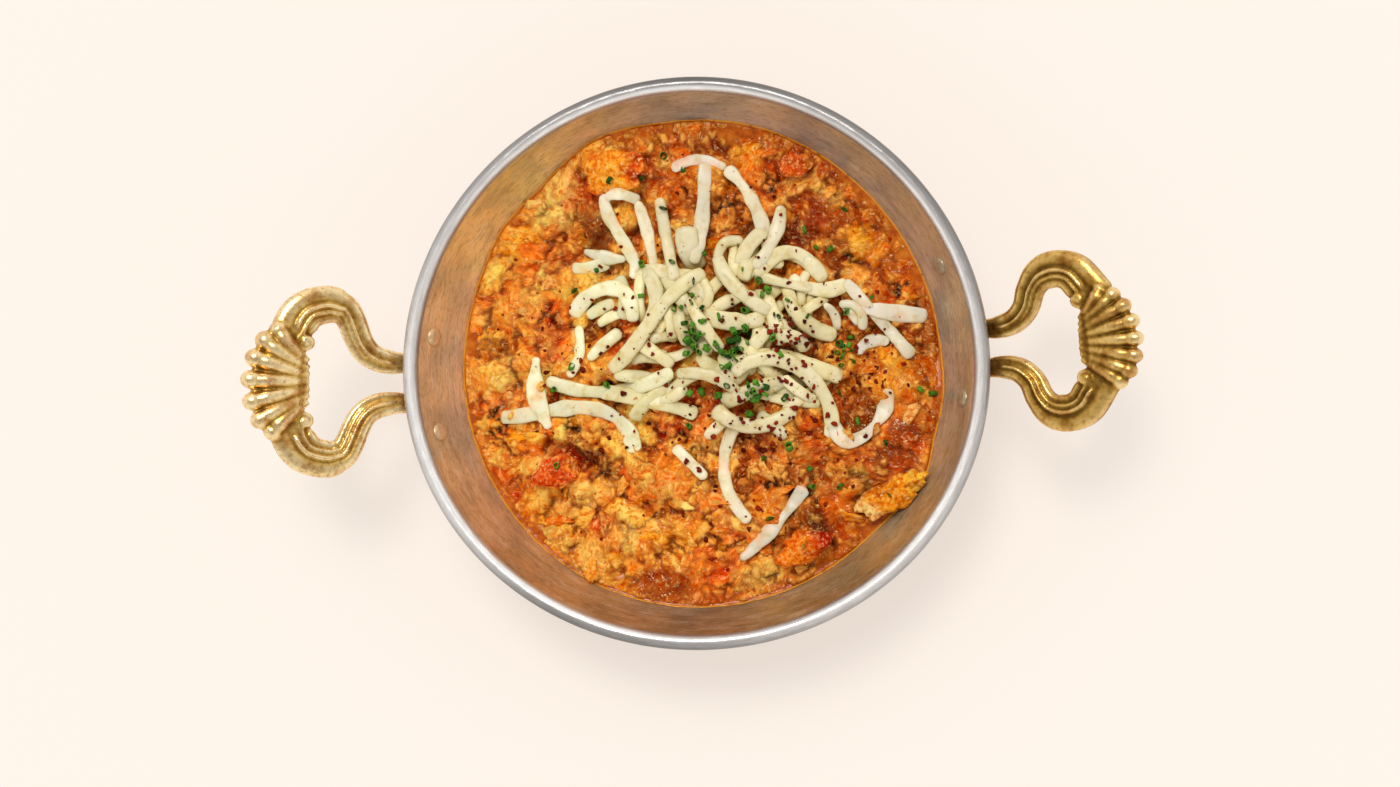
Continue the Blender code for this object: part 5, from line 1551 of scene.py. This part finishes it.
def make_cheese(egg_map, eggs, material):
    """Every shred of cheese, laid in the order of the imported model, with more fine ones between them."""
    tops = Ground()
    core = np.hypot((eggs.x - CORE_X) / CORE_LONG, (eggs.y - CORE_Y) / CORE_WIDE)
    tops.top = np.where(core < 1, eggs.top + GAP + 0.6 + CORE_HIGH * (1 - core**2), 0)
    points, faces, colours, thins, used = [], [], [], [], 0

    def in_heap(x, y):
        share = min(1.0, math.hypot((x - CORE_X) / HEAP_LONG, (y - CORE_Y) / HEAP_WIDE))
        settled = EGG_CENTRE + HEAP_HIGH * (1 - share**2) - HEAP_LAYER * layer
        sink, lift = (SHRED_SINK, 0) if i < shown_from else (SHOWN_SINK, SHOWN_LIFT)
        return max(eggs.highest(x, y, 1.6) - 0.2, min(settled + lift, tops.highest(x, y, 1.5) - sink))

    extra = [
        path
        for path in fill_shreds(EXTRA_FILL, EXTRA_SEED)
        if np.hypot(path[:, 0] - HOLLOW_X, path[:, 1] - HOLLOW_Y).min() > HOLLOW_REACH
    ]
    paths = [(path, 0.8) for path in extra] + [(path, 0.9) for path in fill_shreds(FILL_COUNT, FILL_SEED)]
    shown_from = len(paths)
    paths += [(through(shown), width / SHRED_WIDTH) for width, *shown in FINE_SHREDS]
    fine_to = len(paths)
    paths += [(through(shown), 1.0) for shown in SHOWN_SHREDS]
    for i, (path, size) in enumerate(paths):
        layer = (i - len(extra)) % HEAP_LAYERS + (i < len(extra))
        draw = np.random.default_rng(STRIP_SEED + i)
        low = resting_heights(path, in_heap)
        middle_x, middle_y = path.mean(axis=0)
        melted = smooth(28, 54, math.hypot(middle_x - CORE_X, middle_y - CORE_Y))
        if not shown_from <= i < fine_to:
            size = size * draw.uniform(0.84, 1.16) * (1 - 0.12 * melted)
        wide = SHRED_WIDTH * size
        thick = SHRED_THICK * draw.uniform(0.75, 1.0) * (1 - 0.5 * melted)
        low = low - MELT_SINK * melted
        low[[0, -1]] -= END_SINK * (1 - melted)
        strip, quads = strip_mesh(path, low, wide, thick, STRIP_SEED + i, 1 + melted)
        faces += [[k + used for k in quad] for quad in quads]
        points.append(strip)
        used += len(strip)
        leftward = smooth(5, -45, middle_x)
        whitish = np.clip(melted * 0.85 * (1 - 0.6 * leftward) + draw.uniform(-0.15, 0.2), 0, 1)
        tone = blend(linear(CHEESE_TONE), linear(MELTED_TONE), whitish)
        tone = np.minimum(tone * (1 + 0.18 * leftward), 0.86) * draw.uniform(0.84, 1.08)
        thins.append(np.full(len(strip), 0.1 + 0.13 * melted))
        side = smooth(0.95, -0.4, np.sin(full_turn(STRIP_SIDES)))
        side = np.tile(side, len(strip) // STRIP_SIDES)[:, None]
        streak = waves(strip[:, 0] + 50 * i, strip[:, 1], 5, 310, 2)[:, None]
        colours.append(tone * (1 - side * UNDERSIDE_SHADE) * (1 + streak * STREAK_SHADE))
        for x, y, top in curve_through(np.column_stack([path, low + thick]), 6 * len(path)):
            tops.lay(x, y, wide / 2, top)
    points, colours = np.concatenate(points), np.concatenate(colours)
    cells = eggs.nearest(points[:, 0], points[:, 1])
    covered = blurred(np.maximum(tops.top, eggs.top), 4)[cells] - points[:, 2]
    colours = colours * (1 - smooth(0.4, 3.6, covered)[:, None] * COVER_SHADE)
    low_down = smooth(1.6, 0.2, points[:, 2] - eggs.top[cells])
    through_it = egg_map.at(egg_map.colour, points[:, 0], points[:, 1])
    colours = tinted(colours, through_it, np.concatenate(thins) * (0.4 + 1.2 * low_down))
    return mesh_object("cheese_shreds", points, faces, material, np.clip(colours, 0, 1)), tops


def cheese_look():
    """Half-melted cheese: smooth, faintly see-through and a little greasy."""
    look = Look(
        "shredded_cheese", Specular_IOR_Level=0.06, Coat_Weight=0.3, Coat_Roughness=0.2,
        Subsurface_Weight=0.25, Subsurface_Radius=(1.0, 0.95, 0.85), Subsurface_Scale=0.6 * MM,
    )
    tint = look.tint()
    clouds = look.noise(3.2, 3.0, 0.5)
    colour = look.over(tint, clouds, 0.47, 0.7, 0.35, look.mix(1.0, tint, (120, 116, 100), "SCREEN"))
    look.feed("Base Color", look.over(colour, clouds, 0.48, 0.28, 0.6, look.times(tint, (230, 212, 150))))
    look.feed("Roughness", look.range(look.noise(2.0, 3.0), 0.3, 0.7, 0.3, 0.48))
    normal = look.bump(look.noise(1.4, 3.0), 0.3, 0.25)
    look.feed("Normal", look.bump(look.noise(0.4, 2.0), 0.15, 0.08, normal))
    return look.material


# ---------------------------------------------------------------- chives and pepper

# Where chives lie in the photo, in pixels. MIDDLE_PIXEL is where the pan's middle is, FOOD_PIXEL is the
# millimetres of a pixel at the food's height, and FOOD_SHIFT is how far the slant of the view moves things
CHIVE_SPOTS = (
    (709, 253), (677, 261), (748, 269), (848, 209), (876, 297), (854, 337), (846, 357), (820, 247),
    (725, 317), (691, 323), (723, 395), (754, 414), (790, 397), (693, 426), (794, 446), (768, 458),
    (814, 468), (890, 442), (924, 389), (936, 393), (894, 494), (816, 486), (844, 486), (810, 544),
    (615, 180), (643, 176), (667, 154), (687, 168), (599, 269), (645, 263), (645, 295), (575, 289),
    (808, 229),
)
MIDDLE_PIXEL, FOOD_PIXEL, FOOD_SHIFT = (695.66, 364.86), 0.344, 1.8
# x, y, spread and count of the clusters of chives and of flakes
CHIVE_CLUSTERS = (
    (1, 8, 6, 15), (13, 4, 6, 16), (14, 10, 5, 9), (21, -7, 5, 10), (25, 26, 4, 4), (51, 4, 5, 9),
    (-2, 22, 8, 6), (30, 14, 14, 6),
)
FLAKE_CLUSTERS = (
    (32, 10, 4, 34), (62, 2, 5, 14), (30, 4, 14, 50), (22, -28, 15, 100), (0, -14, 18, 40),
    (50, 0, 12, 40), (-30, 8, 16, 40),
)
# The sizes that flakes are drawn from and how likely each is, in the clusters and between them
CLUSTER_FLAKES = (0.5, 0.75, 1.05, 1.4), (0.24, 0.34, 0.26, 0.16)
SPREAD_FLAKES = (0.3, 0.45, 0.7, 1.0), (0.4, 0.3, 0.2, 0.1)
SPREAD_COUNT, SPREAD_REACH = 170, 74
DUST_COUNT, DUST_MIDDLE, DUST_SPREAD, DUST_SIZES = 260, (12, 4), (26, 22), (0.14, 0.28)
CHIVE_TONES = (22, 70, 18), (96, 156, 40)
FLAKE_TONES = (72, 9, 3), (150, 38, 8)


def chive_mesh(draw, radius, length):
    """(points, faces) of a short length of chive: a thin-walled tube, a little squashed."""
    sides = 12
    turns = full_turn(sides)
    squash = draw.uniform(0.35, 1.0)
    inner = radius - 0.24
    rows = []
    for r, z in ((radius, -0.5), (radius, 0.0), (radius, 0.5), (inner, 0.5), (inner, -0.5)):
        out = r * (1 + 0.06 * np.sin(3 * turns + draw.uniform(0, 6)))
        x, y = out * np.cos(turns), squash * out * np.sin(turns)
        rows.append(np.column_stack([x, y, z * length + 0 * turns]))
    return np.concatenate(rows), hoop_faces(5, sides)


def flake_mesh(draw, size):
    """(points, faces) of one flake of pepper: a ragged bent chip."""
    sides = 7
    turns = full_turn(sides)
    out = size * draw.uniform(0.55, 1.1, sides)
    long = draw.uniform(0.5, 1.0)
    bend = draw.uniform(-0.25, 0.25, sides) * size
    edge = np.column_stack([out * np.cos(turns), long * out * np.sin(turns), bend])
    up = np.array((0, 0, 0.16 * size))
    rows = np.vstack([[-1.6 * up], edge * (0.92, 0.92, 1) - up, edge + up, [1.8 * up]])
    faces = []
    for i in range(sides):
        j = (i + 1) % sides
        faces += [[0, 1 + j, 1 + i], [1 + i, 1 + j, 1 + sides + j, 1 + sides + i]]
        faces.append([1 + sides + i, 1 + sides + j, 1 + 2 * sides])
    return rows, faces


def solid_chives(tops, count, seed, on_heap):
    """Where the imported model's chives lie on the cheese or on the eggs."""
    draw = np.random.default_rng(seed)
    found = []
    while len(found) < count:
        if on_heap:
            x, y = draw.normal(CHIVE_MIDDLE, CHIVE_SPREAD)
            suits = tops.highest(x, y, 0.4) > 0
        else:
            x, y = draw.uniform(-EGG_TOPPINGS_TO, EGG_TOPPINGS_TO, 2)
            beside_heap = math.hypot(x - CORE_X, y - CORE_Y) > EGG_TOPPINGS_FROM
            suits = beside_heap and math.hypot(x, y) < EGG_TOPPINGS_TO
        if suits:
            found.append((x, y, 1.0))
            draw.uniform(size=2)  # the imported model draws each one's lie here
    return found


def surface_turn(ground, x, y):
    """A rotation that lays a piece on the slope of the ground at a point."""
    rises = []
    for a, b in ((1, 0), (0, 1)):
        rises.append((ground.highest(x + a, y + b, 0.3) - ground.highest(x - a, y - b, 0.3)) / 2)
    normal = Vector((*-np.clip(rises, -1, 1), 1)).normalized()
    return Vector((0, 0, 1)).rotation_difference(normal).to_matrix()


class Scatter:
    """Many small pieces gathered into one mesh."""

    def __init__(self):
        self.points, self.faces, self.colours, self.used = [], [], [], 0

    def add(self, points, faces, matrix, centre, colour):
        self.faces += [[i + self.used for i in face] for face in faces]
        self.points.append(points @ np.array(matrix).T + np.array(centre))
        self.colours.append(np.tile(np.clip(colour, 0, 1), (len(points), 1)))
        self.used += len(points)

    def build(self, name, material, **more):
        points, colours = np.concatenate(self.points), np.concatenate(self.colours)
        return mesh_object(name, points, self.faces, material, colours, **more)


def make_chives(ground, tops, material):
    """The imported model's chives, those that can be told apart in the photo, and clusters of small ones."""
    scatter = Scatter()
    draw = np.random.default_rng(CHIVE_SEED)
    places = solid_chives(tops, CHIVES_ON_CHEESE, TOPPING_SEED, True)
    places += solid_chives(tops, CHIVES_ON_EGGS, TOPPING_SEED + 1, False)
    middle_x, middle_y = MIDDLE_PIXEL
    for x, y in CHIVE_SPOTS:
        places.append(((x - middle_x) * FOOD_PIXEL - FOOD_SHIFT, (middle_y - y) * FOOD_PIXEL, 1.0))
    for x, y, spread, count in CHIVE_CLUSTERS:
        places += [(*draw.normal((x, y), spread / 2), 0.9) for _ in range(count)]
    for x, y, size in places:
        radius = draw.uniform(0.85, 1.4) * size
        points, faces = chive_mesh(draw, radius, draw.uniform(1.2, 2.8))
        turn = Matrix.Rotation(draw.uniform(0, 2 * math.pi), 3, "Z")
        lean = math.radians(draw.choice((draw.uniform(50, 90), draw.uniform(0, 30))))
        centre = (x, y, ground.highest(x, y, 0.5) + 0.25)
        colour = blend(*linear(CHIVE_TONES), draw.uniform(0, 1))
        matrix = surface_turn(ground, x, y) @ turn @ Matrix.Rotation(lean, 3, "Y")
        scatter.add(points, faces, matrix, centre, colour)
    return scatter.build("chives", material)


def make_flakes(ground, material):
    """The flakes of pepper: in clusters, spread over all the food, and as fine dust round the cheese."""
    scatter = Scatter()
    draw = np.random.default_rng(FLAKE_SEED)
    places = []
    for x, y, spread, count in FLAKE_CLUSTERS:
        for _ in range(count):
            size = draw.choice(CLUSTER_FLAKES[0], p=CLUSTER_FLAKES[1])
            places.append((*draw.normal((x, y), spread), size))
    for _ in range(SPREAD_COUNT):
        angle, away = draw.uniform(0, 2 * math.pi), SPREAD_REACH * math.sqrt(draw.uniform())
        size = draw.choice(SPREAD_FLAKES[0], p=SPREAD_FLAKES[1])
        places.append((away * math.cos(angle), away * math.sin(angle), size))
    for _ in range(DUST_COUNT):
        places.append((*draw.normal(DUST_MIDDLE, DUST_SPREAD), draw.uniform(*DUST_SIZES)))
    for x, y, size in places:
        if math.hypot(x, y) > FLAKE_REACH:
            continue
        points, faces = flake_mesh(draw, size)
        turn = Matrix.Rotation(draw.uniform(0, 2 * math.pi), 3, "Z")
        redness = draw.uniform(0.3, 1.1) if size < 0.6 else draw.uniform(0, 1)
        centre = (x, y, ground.highest(x, y, 0.3) + 0.02)
        colour = blend(*linear(FLAKE_TONES), redness)
        scatter.add(points, faces, surface_turn(ground, x, y) @ turn, centre, colour)
    return scatter.build("pepper_flakes", material)


def small_look(name, roughness, coat):
    look = Look(name, Roughness=roughness, Specular_IOR_Level=0.08, Coat_Weight=coat, Coat_Roughness=0.15)
    tint = look.tint()
    shade = look.noise(0.6, 2.0)
    look.feed("Base Color", look.over(tint, shade, 0.4, 0.6, 0.35, look.times(tint, (160, 160, 160))))
    look.feed("Normal", look.bump(shade, 0.3, 0.1))
    return look.material


# ---------------------------------------------------------------- camera, light and floor

CAMERA_TILT = math.radians(7)
CAMERA_AWAY = 800
CAMERA_AIM = (2.96, -9.7, RIM_TOP)
CAMERA_LENS = 60.8

# The sky's brightness overhead, half way up and at the horizon
ZENITH, SKY_RING, HORIZON = 0.42, 0.95, 0.75
SKY_TONE, LAMP_TONE = (1.0, 0.98, 0.955), (1.0, 0.985, 0.96)
# The share of full daylight that a level surface gets from the window, and from a small bright part of it
# that only shows as glints on what is wet, and how many degrees each is across
LAMP_SHARE, LAMP_SPREAD = 0.31, 30
GLINT_SHARE, GLINT_SPREAD = 0.14, 15
LAMP_HEIGHT, LAMP_SIDE = 62, 103
FLOOR_TONE = (254, 244, 234)
FLOOR_GLOW, FLOOR_GREY = 0.615, 0.36  # the light that the floor gives off, and the share it throws back
FLOOR_HALF = 4  # metres


def make_camera():
    data = bpy.data.cameras.new("camera")
    data.lens = CAMERA_LENS
    data.clip_start, data.clip_end = 0.01, 20
    camera = linked("camera", data)
    away = Vector((math.sin(CAMERA_TILT), 0, math.cos(CAMERA_TILT))) * CAMERA_AWAY
    camera.location = (Vector(CAMERA_AIM) + away) * MM
    camera.rotation_euler = (0, CAMERA_TILT, 0)
    bpy.context.scene.camera = camera


def make_light():
    """Soft daylight from the upper left of the picture, and a pale room that is brightest half way up."""
    world = bpy.data.worlds.new("room")
    world.use_nodes = True
    tree = world.node_tree
    height, coordinates, bright = (
        tree.nodes.new(f"ShaderNode{kind}") for kind in ("SeparateXYZ", "TexCoord", "FloatCurve")
    )
    background = tree.nodes["Background"]
    background.inputs["Color"].default_value = (*SKY_TONE, 1)
    tree.links.new(coordinates.outputs["Generated"], height.inputs[0])
    tree.links.new(height.outputs["Z"], bright.inputs["Value"])
    tree.links.new(bright.outputs[0], background.inputs["Strength"])
    points = bright.mapping.curves[0].points
    points[0].location, points[1].location = (0.0, HORIZON), (1.0, ZENITH)
    points.new(0.4, SKY_RING)
    points.new(0.7, (SKY_RING + ZENITH) / 2)
    bright.mapping.update()
    bpy.context.scene.world = world
    turn = (math.radians(90 - LAMP_HEIGHT), 0, math.radians(LAMP_SIDE + 90))
    lamps = (("window", LAMP_SHARE, LAMP_SPREAD), ("glints", GLINT_SHARE, GLINT_SPREAD))
    for name, share, spread in lamps:
        data = bpy.data.lights.new(name, "SUN")
        data.energy = share * math.pi / math.sin(math.radians(LAMP_HEIGHT))
        data.angle = math.radians(spread)
        data.color = LAMP_TONE
        linked(name, data).rotation_euler = turn


def make_floor():
    """A plain pale table that glows a little, so that the shadows on it stay as faint as they are."""
    tone = linear(FLOOR_TONE)
    look = Look(
        "pale_floor", Roughness=0.9, Specular_IOR_Level=0.1, Base_Color=(*(tone * FLOOR_GREY), 1),
        Emission_Strength=1.0, Emission_Color=(*(tone * FLOOR_GLOW), 1),
    )
    mesh = bpy.data.meshes.new("floor")
    corners = [(x * FLOOR_HALF, y * FLOOR_HALF, 0) for x, y in ((-1, -1), (1, -1), (1, 1), (-1, 1))]
    mesh.from_pydata(corners, [], [(0, 1, 2, 3)])
    mesh.materials.append(look.material)
    floor = linked("floor", mesh)


# ---------------------------------------------------------------- putting it together


def main():
    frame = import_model()
    bpy.context.scene.view_settings.view_transform = "Standard"
    make_camera()
    make_light()
    make_floor()

    tin = pan_look()
    pan = make_pan(tin)
    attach(pan, "root")
    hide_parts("pan")
    rivets = make_rivets(tin)
    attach(rivets, "root")
    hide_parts("rivet_left_1", "rivet_left_2", "rivet_right_1", "rivet_right_2")
    brass = brass_look()
    for side in HANDLES:
        handle = make_handle(side, brass)
        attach(handle, "root")
        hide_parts(f"handle_{side}")

    egg = egg_look()
    egg_map = EggMap()
    eggs = make_eggs(egg_map, egg)
    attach(eggs, "root")
    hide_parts("menemen")
    sauce = make_sauce(sauce_look())
    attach(sauce, "root")
    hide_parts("sauce")
    for name in CHUNKS:
        piece = make_chunk(name, egg_map, egg)
        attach(piece, "root")
        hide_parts(name)

    ground = Ground()
    flat_x, flat_y = ground.x.ravel(), ground.y.ravel()
    surface = egg_map.at(egg_map.height, flat_x, flat_y).reshape(ground.x.shape)
    ground.top = np.where(np.hypot(ground.x, ground.y) < FOOD_REACH, surface, 0)
    for centre, sizes, _, _, _ in CHUNKS.values():
        ground.lay(centre[0], centre[1], sizes[1], centre[2] + 0.7 * sizes[2])
    torn = make_torn_bits(egg_map, ground, egg)
    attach(torn, "root")
    shreds, tops = make_cheese(egg_map, ground, cheese_look())
    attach(shreds, "root")
    loose = [name for name in frame["nodes"] if name.startswith("shred_")]
    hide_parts("cheese", *loose)
    covered = Ground()
    covered.top = np.maximum(ground.top, tops.top)
    chives = make_chives(covered, tops, small_look("chive", 0.45, 0.08))
    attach(chives, "root")
    flakes = make_flakes(covered, small_look("pepper", 0.5, 0.03))
    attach(flakes, "root")

    bpy.context.view_layer.update()


main()
